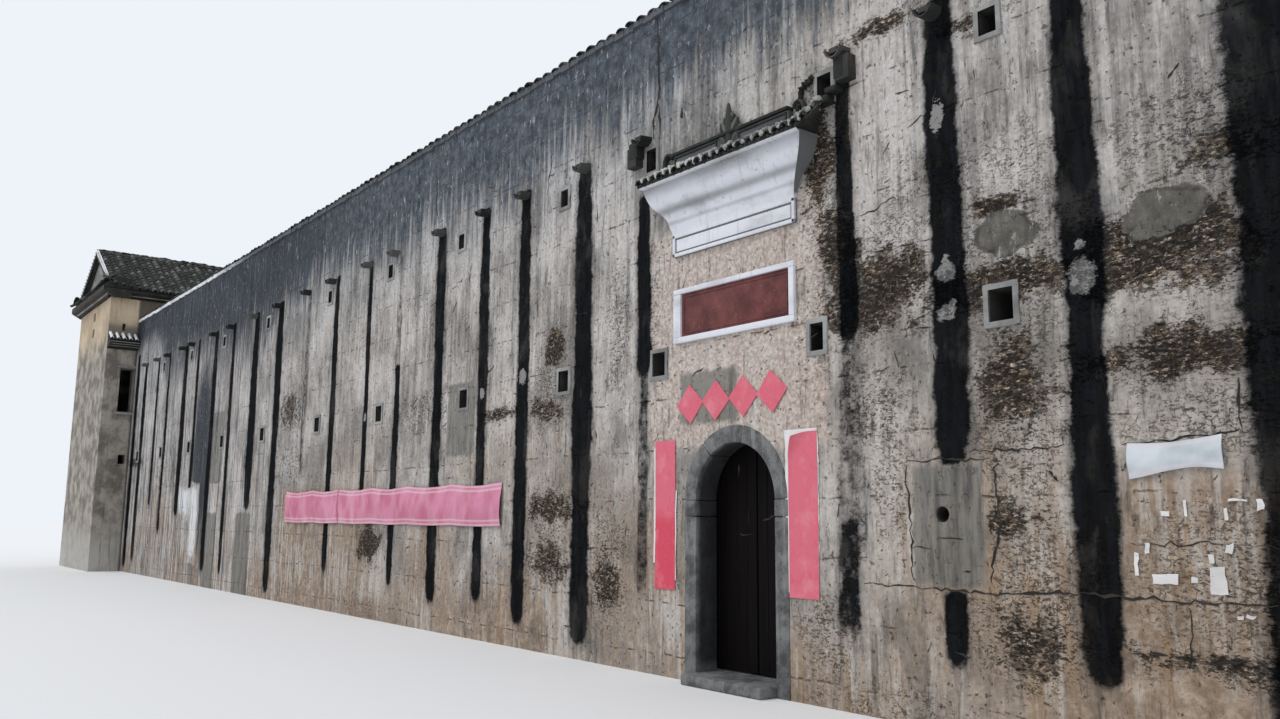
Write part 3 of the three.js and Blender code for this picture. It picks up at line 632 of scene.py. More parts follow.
SLATE = [(-18.55, 3.00, 0.80, 2.60)]  # a dark stretch of the wall: place, height, half sizes


FIRST_SEED = 5  # of the marks drawn by lot
SHOWN = 6  # beyond this place on the front wall, the photograph shows nothing


def drawn_marks(wall, seed):
    """Streaks and bare patches drawn by lot, for a wall or a stretch that the photograph doesn't show."""
    lot = np.random.default_rng(seed)
    streaks, bare = [], []
    for place_of in wall["spouts"]:
        foot = lot.uniform(0.1, 2.2)
        streaks.append((place_of / HALF, lot.uniform(0.18, 0.42), 5.95, foot, lot.uniform(0.6, 1.0)))
    for _ in range(int(wall["span"] * 3)):
        place_of = lot.uniform(-1, 1) * wall["span"] / HALF
        bare.append((place_of, lot.uniform(0.3, 4.6), lot.uniform(0.25, 0.8), lot.uniform(0.08, 0.3),
                     lot.uniform(0.3, 1.0)))
    return streaks, bare


for seed, (name, wall) in enumerate(WALLS.items()):
    streaks, bare = drawn_marks(wall, seed + FIRST_SEED)
    if name == "front":
        streaks = STREAKS + [mark for mark in streaks if mark[0] > SHOWN]
        bare = BARE + [mark for mark in bare if mark[0] > SHOWN]
    wall["streaks"], wall["bare"] = streaks, bare


# %% [markdown]
# The plaster needs to know, at every point, how strongly each mark is there. Each mark becomes a smooth
# number over the wall: above 0 inside it, below 0 outside.

# %% Marks as fields
def wall_fields(wall, u, z, is_front):
    """For each point of a wall, in real metres: how strongly each mark is there."""
    sway = 0.04 * (field(u * 0 + 1.0, z, 1.3, 3) - 0.5) + 0.03 * (field(u, z, 0.16, 4) - 0.5)
    streak = np.full(u.shape, -1.0)
    for place_of, width, top, foot, dark in wall["streaks"]:
        taper = 0.72 + 0.28 * step(top - z, 0.0, 1.2)
        half = 0.5 * width * taper * (0.85 + 0.32 * field(z * 0 + place_of * 3.7, z, 1.1, 5))
        shape = 1 - np.abs(u - place_of + sway) / half
        ends = np.minimum(step(z, foot - 0.25, foot + 0.30), step(-z, -top - 0.04, -top + 0.03))
        streak = np.maximum(streak, np.minimum(shape, 1.45 * dark - 0.83) * ends - (1 - ends) * 0.5)

    bend = field(u, z, 0.22, 6) * 0.6 + field(u, z, 0.09, 7) * 0.4 - 0.5
    earth, depth = np.full(u.shape, -1.0), np.zeros(u.shape)
    for x, height, across, tall, deep in wall["bare"]:
        shape = within_oval(u, z, x, height, across, tall) + 1.1 * bend
        earth = np.maximum(earth, shape * min(0.9, 0.35 + 0.55 * deep))
        depth = np.maximum(depth, deep * step(shape, 0.0, 0.22))

    reach = 1.05 + 0.6 * field(u, z * 0, 1.9, 8) + 0.25 * field(u, z * 0, 0.3, 9)
    if is_front:
        reach = reach + 1.15 * step(-u, 11.0, 15.0) * step(u, -23.4, -22.0) - 0.95 * step(u, 1.3, 3.0)
        reach = reach - 0.62 * step(-u, 22.4, 23.6) + 0.25 * step(-u, 2.0, 5.0)
    stain = 1.05 - (7.34 - z) / reach
    warm = 0.66 - 0.15 * z + 0.5 * (field(u, z, 1.3, 10) - 0.5)
    cement, lime, dab, mend = (np.full(u.shape, -1.0) for _ in range(4))
    clean = np.full(u.shape, -1.0)
    crumbled = 1.3 * (field(u, z, 1.1, 20) - 0.62) - 0.12 * np.maximum(z - 4.0, 0)
    crumbled = np.maximum(crumbled, 0.55 + 0.9 * earth)
    if is_front:
        clean = step(within_box(u, z, -1.35, 1.30, 2.25, 4.75), -0.25, 0.30) - 0.15 + 0.5 * (bend - 0.1)
        for oval in CRUMBLED:
            crumbled = np.maximum(crumbled, 0.9 * within_oval(u, z, *oval) + 0.3 * bend)
        warm = warm + 0.45 * step(within_box(u, z, 3.9, 5.2, 0.2, 1.9), -0.2, 0.3)
        warm = warm + 0.60 * step(within_box(u, z, -12.9, -11.2, -0.5, 2.1), -0.3, 0.3)
        for box in CEMENT:
            cement = np.maximum(cement, within_box(u, z, *box) + 0.03 * bend)
        for oval in OVALS:
            mend = np.maximum(mend, 0.25 * (within_oval(u, z, *oval) + 1.0 * bend))
        for box in LIME:
            lime = np.maximum(lime, within_box(u, z, *box) + 0.10 * bend)
        for spot in DABS:
            dab = np.maximum(dab, within_oval(u, z, *spot))
        for oval in SLATE:
            stain = np.maximum(stain, 0.9 * within_oval(u, z, *oval) + 0.3)
        cement = np.maximum(cement, mend)
        stain = stain - 1.5 * step(lime, -0.14, 0.0)
        covered = np.maximum(step(cement, -0.02, 0.02), step(lime, -0.02, 0.02))
        mended = within_box(u, z, *CEMENT[0])
        streak = np.where(lime > 0, np.minimum(streak, -0.2), streak)
        streak = np.where(mended > 0, np.minimum(streak, -0.05), streak)
        earth, depth, crumbled = earth - covered, depth * (1 - covered), crumbled - covered
    return {"streak": streak, "earth": earth, "depth": depth, "stain": stain, "warm": warm,
            "cement": cement, "lime": lime, "dab": dab, "clean": clean, "crumbled": crumbled, "mend": mend}


# %% [markdown]
# The plaster is a grid laid over the wall. Its lines pass along the window rims, so that whole faces can
# be taken out there, and they are closer together where the camera is near. The grid is then pushed out
# to the plaster's surface and back where it has worn away, and its border is drawn back to the wall.

# %% The plaster coat
def lines_between(stops, spacing):
    """Places that include every stop, with even steps between them no longer than spacing allows."""
    stops = sorted(set(round(stop, 5) for stop in stops))
    made = [stops[0]]
    for low, high in zip(stops, stops[1:]):
        count = max(1, math.ceil((high - low) / spacing((low + high) / 2) - 0.3))
        made += list(np.linspace(low, high, count + 1)[1:])
    return np.array(made)


def rim_middles(wall):
    inset = RIM_WIDTH / 2
    return [(a + inset, b - inset, low + inset, high - inset) for a, b, low, high in wall["rims"]]


def grid_piece(columns, rows):
    """A grid with the given lines, and each point's place along both. Its shape is set afterwards."""
    nx, ny = len(columns) - 1, len(rows) - 1
    bpy.ops.mesh.primitive_grid_add(x_subdivisions=nx, y_subdivisions=ny, size=1)
    grid = bpy.context.object
    co = points(grid.data)
    i = np.rint((co[:, 0] + 0.5) * nx).astype(int)
    j = np.rint((co[:, 1] + 0.5) * ny).astype(int)
    return grid, columns[i], rows[j]


MARKS = ("streak", "earth", "stain", "warm", "cement", "lime", "dab", "clean", "crumbled", "mend")
GATE_HALF, GATE_SPRING = 0.65, 1.80  # inside the stones, which hide the plaster's edge there
HOLE_PLACE, HOLE_CLEAR = (2.42, 1.66), 0.13


def coat_depth(u, z, marks):
    """How far the plaster stands in front of the wall, in real metres."""
    uneven = 0.5 * field(u, z, 0.6, 1) + 0.3 * field(u, z, 0.17, 2)
    crumbs = field(u, z, 0.07, 12) - 0.5
    out = COAT - 0.007 * uneven + marks["depth"] * (-0.010 + 0.006 * crumbs)
    return np.clip(out + 0.004 * step(marks["cement"], -0.01, 0.02), 0.0015, COAT + 0.004)


def plaster_coat(name, wall, spacing, is_front=False):
    holes = rim_middles(wall)
    stops_u = [-wall["span"] + 0.001, wall["span"] - 0.001]
    stops_z = [0.0, WALL_HEIGHT * HALF]
    for a, b, low, high in holes:
        stops_u += [a, b]
        stops_z += [low, high]
    grid, u, z = grid_piece(lines_between(stops_u, spacing), lines_between(stops_z, lambda z: 0.034))
    mesh = grid.data
    real_u, real_z = u / HALF, z / HALF
    marks = wall_fields(wall, real_u, real_z, is_front)
    set_points(mesh, from_wall(wall, u, coat_depth(real_u, real_z, marks) * HALF, z))
    for key in MARKS:
        set_values(grid, key, marks[key])

    middles = to_wall(wall, face_middles(mesh))
    mu, mz = middles[:, 0], middles[:, 2]
    gone = np.zeros(len(middles), bool)
    for a, b, low, high in holes:
        gone |= (mu > a) & (mu < b) & (mz > low) & (mz < high)
    if is_front:
        arch = np.hypot(mu, np.maximum(mz - GATE_SPRING * HALF, 0)) < GATE_HALF * HALF
        gone |= arch & (np.abs(mu) < GATE_HALF * HALF)
        gone |= np.hypot(mu - HOLE_PLACE[0] * HALF, mz - HOLE_PLACE[1] * HALF) < HOLE_CLEAR * HALF
    select_faces(mesh, gone)
    bpy.ops.object.mode_set(mode="EDIT")
    bpy.ops.mesh.select_mode(type="FACE")
    bpy.ops.mesh.delete(type="FACE")
    bpy.ops.mesh.select_all(action="SELECT")
    bpy.ops.mesh.region_to_loop()
    face, behind = from_wall(wall, np.zeros(2), np.array([0.0, -COAT * HALF]), 0.0)
    inwards = behind - face
    bpy.ops.mesh.extrude_edges_move(TRANSFORM_OT_translate={"value": tuple(inwards)})
    bpy.ops.object.mode_set(mode="OBJECT")
    return finish_piece(grid, name, PLASTER, smooth=50)


def front_spacing(u):
    return 0.026 if -5.0 < u < 3.6 else 0.055


plaster_coat("front_plaster", WALLS["front"], front_spacing, is_front=True)
for side in ("back", "left", "right"):
    plaster_coat(side + "_plaster", WALLS[side], lambda u: 0.06)


# %% [markdown]
# The other materials follow. Each starts from one colour range, gets the wear that such a surface
# has in the rain, and a bump at the scale of its own grain. Some also carry painted shade: the stone deep
# in the gateway, the wall core in the window reveals, the cracks and the hollows of the white cornice.

# %% Materials: stone, lime, tile
PROUD_STONE = 0.024


def stone_material():
    material, tree = new_material("dressed stone")
    here = place(tree)
    worn = weather(here)
    grain = noise(here, 210, 5, 0.7)
    chisel = noise(place(tree, (1.0, 1.0, 0.25)), 120, 3, 0.6, 0.5)
    broad = noise(here, 9, 6, 0.68)
    color = mix(mask(broad, 0.36, 0.64), (0.055, 0.057, 0.057), (0.190, 0.190, 0.188))
    color = over(color, mask(grain, 0.50, 0.66), 0.65, (0.030, 0.034, 0.036))
    color = over(color, mask(worn["Runs"], 0.54, 0.7), 0.4, (0.34, 0.345, 0.33))
    depth_of = node(tree, "SeparateXYZ", Vector=here).outputs["Y"]
    # painted shade, partly soot: the stone darkens to near black deeper in the gateway, above the step
    shade_and_soot = mask(depth_of, FACE_Y - PROUD_STONE * HALF + 0.004, FACE_Y + 0.03)
    low_down = mask(node(tree, "SeparateXYZ", Vector=here).outputs["Z"], 0.05, 0.12)
    color = over(color, both(shade_and_soot, low_down), 0.86, (0.009, 0.009, 0.011))
    height = math_node("ADD", both(grain, 0.6), chisel)
    return finish_material(material, color, height, 0.55, 0.002, 0.82)


def lime_material(name, clean, dirty, low, high):
    """White lime with grime, and painted shade where a piece's own attribute asks for it. low and high say
    how much of it is grimy.
    """
    material, tree = new_material(name)
    here = place(tree)
    worn = weather(here)
    soft = noise(place(tree, (0.4, 1, 1)), 5, 5, 0.6)
    color = mix(mask(soft, low, high), clean, dirty)
    color = over(color, mask(worn["Runs"], 0.54, 0.72), 0.4, dirty)
    color = over(color, worn["Pits"], 0.4, (0.12, 0.11, 0.10))
    # painted shade, with some grime: where a piece's attribute says so, the lime turns grey as if in shade
    shade_and_grime = ragged(attribute(tree, "shade_and_grime"), soft, 0.5, 0.0, 1.0)
    color = mix(shade_and_grime, color, (0.150, 0.156, 0.158))
    color = mix(attribute(tree, "shade_and_soot"), color, (0.030, 0.036, 0.046))
    return finish_material(material, color, worn["Grain"], 0.5, 0.002, 0.9)


def tile_material(name, dark, light, moss_amount, by_tile):
    """Fired clay tiles. by_tile reads the tone that each modelled tile carries."""
    material, tree = new_material(name)
    here = place(tree)
    blotch = noise(here, 9, 6, 0.65)
    grain = noise(here, 130, 4, 0.65)
    tone = attribute(tree, "tone") if by_tile else noise(here, 22, 2)
    color = mix(mask(tone, 0.15, 0.9), dark, light)
    color = over(color, mask(blotch, 0.50, 0.68), moss_amount, (0.050, 0.062, 0.032))
    color = over(color, mask(grain, 0.58, 0.72), 0.35, (0.15, 0.15, 0.14))
    return finish_material(material, color, grain, 0.5, 0.003, 0.88)


STONE = stone_material()
WHITE = lime_material("white cornice lime", (0.72, 0.73, 0.78), (0.36, 0.35, 0.35), 0.44, 0.80)
MORTAR = lime_material("weathered mortar", (0.52, 0.52, 0.50), (0.15, 0.15, 0.145), 0.40, 0.66)
# painted shade: the wall core shows in the window reveals and is kept near black, so that the windows read
# dark
REVEAL_SHADE = lime_material("shaded wall core", (0.050, 0.046, 0.041), (0.018, 0.016, 0.014), 0.35, 0.65)
CAP_LIME = lime_material("coping lime", (0.80, 0.81, 0.82), (0.32, 0.32, 0.31), 0.50, 0.80)
TRIM = lime_material("window trim", (0.33, 0.33, 0.32), (0.16, 0.155, 0.15), 0.34, 0.66)
# painted shade: near black, standing for the shade inside each open crack
CRACK_SHADE = lime_material("crack shade", (0.012, 0.010, 0.009), (0.036, 0.028, 0.021), 0.42, 0.70)
RIDGE_GREY = lime_material("grey ridge lime", (0.120, 0.130, 0.136), (0.050, 0.055, 0.056), 0.40, 0.66)
TILE = tile_material("roof tile", (0.010, 0.011, 0.010), (0.115, 0.117, 0.107), 0.50, True)
TILE_BED = tile_material("tile bed", (0.010, 0.010, 0.009), (0.030, 0.029, 0.026), 0.6, False)


# %% [markdown]
# The towers are plastered too, in a warmer tone that turns cream under the eaves, grey and beige lower
# down and whitish at the foot, where the rain splashes. The rooms and the court side stay bare earth
# under a thin wash.

# %% Materials: tower and inner walls
def tower_material():
    material, tree = new_material("tower plaster")
    here = place(tree)
    worn = weather(here)
    earth_color, _ = rammed_earth(here)
    edge = noise(here, 4.5, 6, 0.62)
    axes = node(tree, "SeparateXYZ", Vector=here).outputs
    level_of = axes["Z"]
    uneven = math_node("ADD", level_of, both(edge, 0.7))
    cream = mix(mask(worn["Clouds"], 0.36, 0.66), (0.40, 0.315, 0.21), (0.56, 0.45, 0.32))
    beige = mix(mask(edge, 0.38, 0.62), (0.165, 0.143, 0.118), (0.38, 0.345, 0.295))
    color = mix(mask(uneven, 3.45, 3.95), beige, cream)
    color = over(color, mask(uneven, 1.15, 0.6), 0.6, (0.50, 0.49, 0.46))
    color = over(color, mask(worn["Runs"], 0.53, 0.70), 0.6, (0.10, 0.092, 0.080))
    color = over(color, mask(edge, 0.66, 0.72), 0.5, earth_color)
    color = over(color, worn["Pits"], 0.5, (0.09, 0.07, 0.05))

    across = math_node("ABSOLUTE", axes["X"])
    depth_of = math_node("ABSOLUTE", axes["Y"])
    flank = mask(across, 13.03, 13.01)
    damp = both(both(flank, mask(depth_of, 10.50, 10.42)),
                both(mask(level_of, 3.42, 3.46), mask(level_of, 3.70, 3.48)))
    color = over(color, ragged(damp, edge, 0.7, 0.1, 0.8), 0.7, (0.085, 0.085, 0.085))
    # painted shade: a dark strip down the flank where it meets the main wall
    color = over(color, both(flank, mask(depth_of, 10.045, 10.015)), 0.8, (0.03, 0.028, 0.026))
    little_roof = both(mask(across, 12.998, 12.992), mask(level_of, 3.15, 3.20))
    color = mix(little_roof, color, (0.016, 0.016, 0.015))
    height = math_node("SUBTRACT", worn["Grain"], both(worn["Pits"], 1.3))
    return finish_material(material, color, height, 0.7, 0.004, 0.93)


def inner_material():
    material, tree = new_material("bare rammed earth")
    here = place(tree)
    worn = weather(here)
    earth_color, earth_height = rammed_earth(here)
    wash = mix(mask(worn["Clouds"], 0.35, 0.65), (0.26, 0.19, 0.12), (0.42, 0.33, 0.23))
    color = mix(mask(worn["Clouds"], 0.40, 0.56), earth_color, wash)
    level_of = node(tree, "SeparateXYZ", Vector=here).outputs["Z"]
    lift = math_node("FRACT", both(level_of, 5.0))
    color = over(color, mask(lift, 0.07, 0.01), 0.6, (0.07, 0.05, 0.03))
    height = math_node("ADD", worn["Grain"], earth_height)
    return finish_material(material, color, height, 0.7, 0.005, 0.95)


TOWER = tower_material()
INNER = inner_material()


# %% [markdown]
# Wood, paper and cloth. The gate's planks are almost black with smoke and age and with painted shade, as
# they stand deep in the gateway, with a little red left in them. The floor boards are lighter. Paper is
# thin and creased, and the cloth shows a fine weave.

# %% Materials: wood, paper, cloth, paint
def wood_material(name, dark, light, stretch, board):
    """Planks with their grain along the axis that stretch makes long. board is the width of one."""
    material, tree = new_material(name)
    fibre = noise(place(tree, stretch), 60, 6, 0.62, 0.4)
    broad = noise(place(tree), 2.4, 4)
    color = mix(mask(fibre, 0.34, 0.68), dark, light)
    color = over(color, mask(broad, 0.5, 0.7), 0.5, dark)
    height = fibre
    if board:
        across = node(tree, "SeparateXYZ", Vector=place(tree)).outputs["X"]
        edge = math_node("FRACT", both(across, 1 / board))
        seam = mask(edge, 0.05, 0.02)
        color = mix(seam, color, (0.01, 0.008, 0.006))
        height = math_node("SUBTRACT", fibre, both(seam, 3.0))
    return finish_material(material, color, height, 0.5, 0.0015, 0.7, Specular_IOR_Level=0.12)


def paper_material(name, pale, strong):
    """Pasted paper, with creases, and stronger in colour where the piece's own attribute says so."""
    material, tree = new_material(name)
    here = place(tree)
    fade = noise(here, 7, 5, 0.65)
    fibres = noise(here, 260, 3, 0.7)
    crease = noise(place(tree, (1, 1, 0.6)), 24, 4, 0.6, 1.2)
    color = mix(attribute(tree, "strong"), pale, strong)
    color = over(color, mask(fibres, 0.45, 0.75), 0.14, (0.9, 0.8, 0.8))
    color = over(color, mask(fade, 0.50, 0.70), 0.35, (0.78, 0.33, 0.38))
    color = over(color, mask(crease, 0.46, 0.34), 0.25, strong)
    return finish_material(material, color, crease, 0.5, 0.002, 0.75)


def cloth_material(name, pale, strong):
    """Thin woven cloth: two crossing sets of threads over a soft change of colour."""
    material, tree = new_material(name)
    along = node(tree, "TexWave", {"bands_direction": "X"}, Vector=place(tree), Scale=420.0, Distortion=0.4)
    up = node(tree, "TexWave", {"bands_direction": "Z"}, Vector=place(tree), Scale=420.0, Distortion=0.4)
    weave = math_node("MAXIMUM", along.outputs["Fac"], up.outputs["Fac"])
    fade = noise(place(tree, (1, 1, 0.5)), 5, 5, 0.6)
    color = mix(mask(fade, 0.36, 0.68), strong, pale)
    color = over(color, weave, 0.12, pale)
    color = over(color, attribute(tree, "hem"), 0.6, (0.75, 0.62, 0.66))
    color = over(color, attribute(tree, "seam"), 0.8, (0.36, 0.05, 0.11))
    return finish_material(material, color, weave, 0.3, 0.0006, 0.85, Sheen_Weight=0.25)


def paint_material():
    material, tree = new_material("red tablet paint")
    here = place(tree)
    fade = noise(here, 8, 6, 0.65)
    chips = noise(here, 60, 5, 0.65, 0.5)
    color = mix(mask(fade, 0.34, 0.68), (0.085, 0.018, 0.018), (0.175, 0.045, 0.042))
    color = over(color, mask(chips, 0.60, 0.70), 0.55, (0.26, 0.17, 0.14))
    return finish_material(material, color, chips, 0.5, 0.002, 0.8)


# painted shade: the planks are kept near black for the deep gateway, over their dark old wood
DOOR = wood_material("gate planks", (0.0008, 0.0005, 0.0006), (0.0048, 0.0022, 0.0020), (1, 1, 0.03), 0)
BOARDS = wood_material("floor boards", (0.07, 0.045, 0.028), (0.20, 0.14, 0.09), (1, 0.03, 1), 0.11)
RAFTER = wood_material("eaves wood", (0.010, 0.008, 0.006), (0.042, 0.032, 0.025), (0.05, 0.05, 1), 0)
PAPER = paper_material("pink paper", (0.66, 0.13, 0.185), (0.62, 0.040, 0.085))
PALE_PAPER = lime_material("bare paper", (0.75, 0.74, 0.73), (0.56, 0.53, 0.51), 0.40, 0.70)
CLOTH = cloth_material("pink cloth", (0.64, 0.23, 0.35), (0.47, 0.085, 0.17))
PALE_CLOTH = cloth_material("white cloth", (0.66, 0.70, 0.73), (0.50, 0.54, 0.57))
PAINT = paint_material()

# %% [markdown]
# The frame's own solids stay where their shape is already right: the walls behind the plaster, the
# rooms, the towers and the solid bodies of the roofs. Each gets one of the materials above.

# %% Materials on the frame's nodes
KEPT = {
    # the walls behind the plaster carry the painted shade of the window reveals
    REVEAL_SHADE: ["front_wall_left", "front_wall_right", "front_wall_over_gate", "back_wall", "left_wall",
                   "right_wall"],
    INNER: [side + "_inner_wall" for side in WALLS],
    BOARDS: [f"{side}_{level_of}_floor" for side in WALLS for level_of in ("middle", "upper")],
    TILE_BED: [side + "_roof" for side in WALLS] + ["cornice_tiles"],
    TOWER: [f"{end}_{side}_tower" for end in ("front", "back") for side in ("left", "right")],
}
for material, names in KEPT.items():
    for name in names:
        give_material(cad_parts[name], material)
    print(material.name, "on", len(names), "nodes")


# %% [markdown]
# Most pieces below start as a grid that is bent into shape by its lines, or as a cube that is cut to size
# and gets worn edges. What repeats, such as a roof tile, is modelled once. An array modifier makes the
# copies, and each copy is then put in its own place.

# %% Helpers for shapes
def modified(piece, kind, **settings):
    """Adds a modifier with some settings, and applies it."""
    modifier = piece.modifiers.new("shape", kind)
    for key, value in settings.items():
        setattr(modifier, key, value)
    bpy.context.view_layer.objects.active = piece
    bpy.ops.object.modifier_apply(modifier=modifier.name)
    return piece


def bevelled(piece, width, segments=2):
    return modified(piece, "BEVEL", width=width * HALF, segments=segments, limit_method="ANGLE")


def bar(low, high, bevel, segments=2):
    """A block between two corners, in real metres, with worn edges."""
    low, high = np.array(low) * HALF, np.array(high) * HALF
    bpy.ops.mesh.primitive_cube_add(size=1, location=tuple((low + high) / 2))
    piece = bpy.context.object
    piece.scale = tuple(high - low)
    bpy.ops.object.transform_apply(location=True, rotation=True, scale=True)
    return bevelled(piece, bevel, segments)


def join(pieces):
    bpy.ops.object.select_all(action="DESELECT")
    for piece in pieces:
        piece.select_set(True)
    bpy.context.view_layer.objects.active = pieces[0]
    if len(pieces) > 1:
        bpy.ops.object.join()
    return pieces[0]


def sheet_grid(columns, rows, shape):
    """A grid whose lines are columns and rows. shape gives each crossing's model point."""
    grid, u, v = grid_piece(np.asarray(columns, float), np.asarray(rows, float))
    set_points(grid.data, shape(u, v))
    return grid


def in_edit_mode(piece, operation):
    """Runs an operation on all of a piece's mesh."""
    choose(piece)
    bpy.ops.object.mode_set(mode="EDIT")
    bpy.ops.mesh.select_all(action="SELECT")
    operation()
    bpy.ops.object.mode_set(mode="OBJECT")
    return piece


def thick(piece, depth):
    """Gives a sheet a thickness behind its face."""
    return modified(piece, "SOLIDIFY", thickness=depth, offset=-1)


def half_round(steps, rows, wide=0.0, along_x=False):
    """Half of a tube of radius 1, open side down. wide lets its edges reach further round."""
    def shape(angle, s):
        level_axes = [s, np.cos(angle)] if along_x else [np.cos(angle), s]
        return np.stack([*level_axes, np.sin(angle)], -1)

    return sheet_grid(np.linspace(math.pi + wide, -wide, steps), rows, shape)


def weld(piece):
    return in_edit_mode(piece, lambda: bpy.ops.mesh.remove_doubles(threshold=1e-5))


def face_outwards(piece):
    return in_edit_mode(piece, lambda: bpy.ops.mesh.normals_make_consistent(inside=False))


def copies(piece, count):
    """Makes count copies in one mesh. Gives each point's copy number and its place in the first."""
    size = len(piece.data.vertices)
    co = points(modified(piece, "ARRAY", count=count, use_relative_offset=False).data)
    return np.arange(len(co)) // size, co


# %% [markdown]
# A spout is a short half-round clay trough that carries the gutter's water clear of the wall. One trough
# is bent from a grid, made thick, and copied to every place where the frame has its bar.

# %% Spouts
SPOUT_RADIUS, SPOUT_LONG, SPOUT_LEVEL = 0.082, 0.172, 5.903


def spouts(name, wall):
    def trough_shape(angle, s):
        return np.stack([SPOUT_RADIUS * np.cos(angle), s, SPOUT_RADIUS * np.sin(angle)], -1)

    trough = sheet_grid(np.linspace(math.pi, 2 * math.pi, 9), [-0.01, 0.06, 0.12, SPOUT_LONG], trough_shape)
    face_outwards(thick(trough, 0.014))
    places = np.array(wall["spouts"])
    which, co = copies(trough, len(places))
    lot = np.random.default_rng(3)
    drop, slant = lot.uniform(0.0, 0.02, len(places)), lot.uniform(-0.03, 0.03, len(places))
    u = co[:, 0] * HALF + places[which] + slant[which] * co[:, 1] * HALF
    z = (co[:, 2] + SPOUT_LEVEL - drop[which] * co[:, 1] / SPOUT_LONG) * HALF
    set_points(trough.data, from_wall(wall, u, co[:, 1] * HALF, z))
    set_values(trough, "tone", lot.uniform(0, 0.8, len(places))[which])
    return finish_piece(trough, name, TILE)


for side, wall in WALLS.items():
    spouts(side + "_spouts", wall)

# %% [markdown]
# Each window has a thin raised frame of cement round a deep, narrow hole. The frame is modelled once as a
# square ring. Its inner half is then fitted to the hole and its outer half to the rim, so that rims keep
# their width round windows of any size.

# %% Window frames
def window_frames(name, wall):
    cells = np.array([-1, -0.94, -0.5, 0, 0.5, 0.94, 1.0])
    ring = sheet_grid(cells, cells, lambda x, z: np.stack([x, x * 0, z], -1))
    select_faces(ring.data, (np.abs(face_middles(ring.data)) < 0.5).all(1))
    bpy.ops.object.mode_set(mode="EDIT")
    bpy.ops.mesh.delete(type="FACE")
    bpy.ops.object.mode_set(mode="OBJECT")
    thick(ring, -0.5)
    face_outwards(ring)
    rims = np.array(wall["rims"])
    which, co = copies(ring, len(rims))
    lot = np.random.default_rng(8)
    bend = 1 + lot.uniform(-0.14, 0.14, len(co))

    def fitted(local, low, high):
        middle, hole = (low + high) / 2, (high - low) / 2 - RIM_WIDTH
        away = np.abs(local)
        on_rim = hole + (away - 0.5) / 0.5 * (RIM_WIDTH + 0.002) * bend
        reach = np.where(away <= 0.5, away / 0.5 * hole, on_rim)
        return middle + np.sign(local) * reach

    u = fitted(co[:, 0], rims[which, 0], rims[which, 1])
    z = fitted(co[:, 2], rims[which, 2], rims[which, 3])
    front = np.abs(co[:, 1]) > 0.25
    worn_edge = np.maximum(np.abs(co[:, 0]), np.abs(co[:, 2])) > 0.97
    out = np.where(front, np.where(worn_edge, 0.0115, 0.0145), 0.004)
    set_points(ring.data, from_wall(wall, u, out, z))
    face_outwards(ring)
    return finish_piece(ring, name, TRIM)


for side, wall in WALLS.items():
    window_frames(side + "_window_frames", wall)

# %% [markdown]
# A low round hole is cut through a cement patch right of the gate. Its collar is a ring that stands a
# little out of the patch and turns into the hole.

# %% Collar of the low hole
COLLAR = [(0.062, -0.004), (0.0625, 0.012), (0.069, 0.0180), (0.10, 0.0195), (0.17, 0.019), (0.215, 0.008)]


def low_hole_collar():
    sides = np.linspace(2 * math.pi, 0, 41)
    steps = np.arange(len(COLLAR), dtype=float)
    radius, out = np.array(COLLAR).T

    def shape(angle, row):
        r = radius[row.astype(int)] * np.where(row > 3, 1 + 0.08 * np.sin(3 * angle), 1)
        u, z = HOLE_PLACE[0] + r * np.cos(angle), HOLE_PLACE[1] + r * np.sin(angle)
        return on_front(u, out[row.astype(int)], z)

    collar = weld(sheet_grid(sides, steps, shape))
    u, _, z = (to_wall(WALLS["front"], points(collar.data)) / HALF).T
    marks = wall_fields(WALLS["front"], u, z, True)
    for key in MARKS:
        set_values(collar, key, marks[key])
    return finish_piece(collar, "low_hole_collar", PLASTER)


low_hole_collar()

# %% [markdown]
# The gate is of grey dressed stone: a post on each side, a short springer block on it, and an arch of two
# long curved stones whose joint is a little right of the crown. Between the stones run thin joints, and
# a worn step lies in front.

# %% Gate stones
OPENING, STONE_HALF, SPRING = 0.56, 0.735, 1.80
REVEAL = 0.27
STEP_TOP = 0.104
FRONT = FACE_Y / HALF


def curved_stone(start, end):
    """One stone of the arch between two angles."""
    count = max(4, int(abs(end - start) / math.radians(5)))
    angles = np.linspace(start, end, count + 1)
    radii = np.array([OPENING, (OPENING + STONE_HALF) / 2, STONE_HALF])

    def shape(angle, radius):
        x, z = radius * np.cos(angle), SPRING + radius * np.sin(angle)
        return np.stack([x, np.full_like(x, FRONT - PROUD_STONE), z], -1) * HALF

    stone = sheet_grid(angles, radii, shape)
    in_edit_mode(stone, lambda: bpy.ops.mesh.extrude_region_move(
        TRANSFORM_OT_translate={"value": (0, (REVEAL + PROUD_STONE) * HALF, 0)}))
    face_outwards(stone)
    return bevelled(stone, 0.012)


def gate_post(side):
    post_z, springer_z = (0, 1.633), (1.639, 1.797)
    low_x, high_x = sorted((side * OPENING, side * STONE_HALF))
    depth = (FRONT - PROUD_STONE, FRONT + REVEAL)
    post = bar((low_x, depth[0], post_z[0]), (high_x, depth[1], post_z[1]), 0.012)
    springer = bar((low_x, depth[0] - 0.004, springer_z[0]), (high_x, depth[1], springer_z[1]), 0.012)
    return [post, springer]


for name, side in (("left", -1), ("right", 1)):
    jamb = finish_piece(join(gate_post(side)), f"gate_jamb_{name}_stones", STONE, smooth=35)
    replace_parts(jamb, f"gate_jamb_{name}")

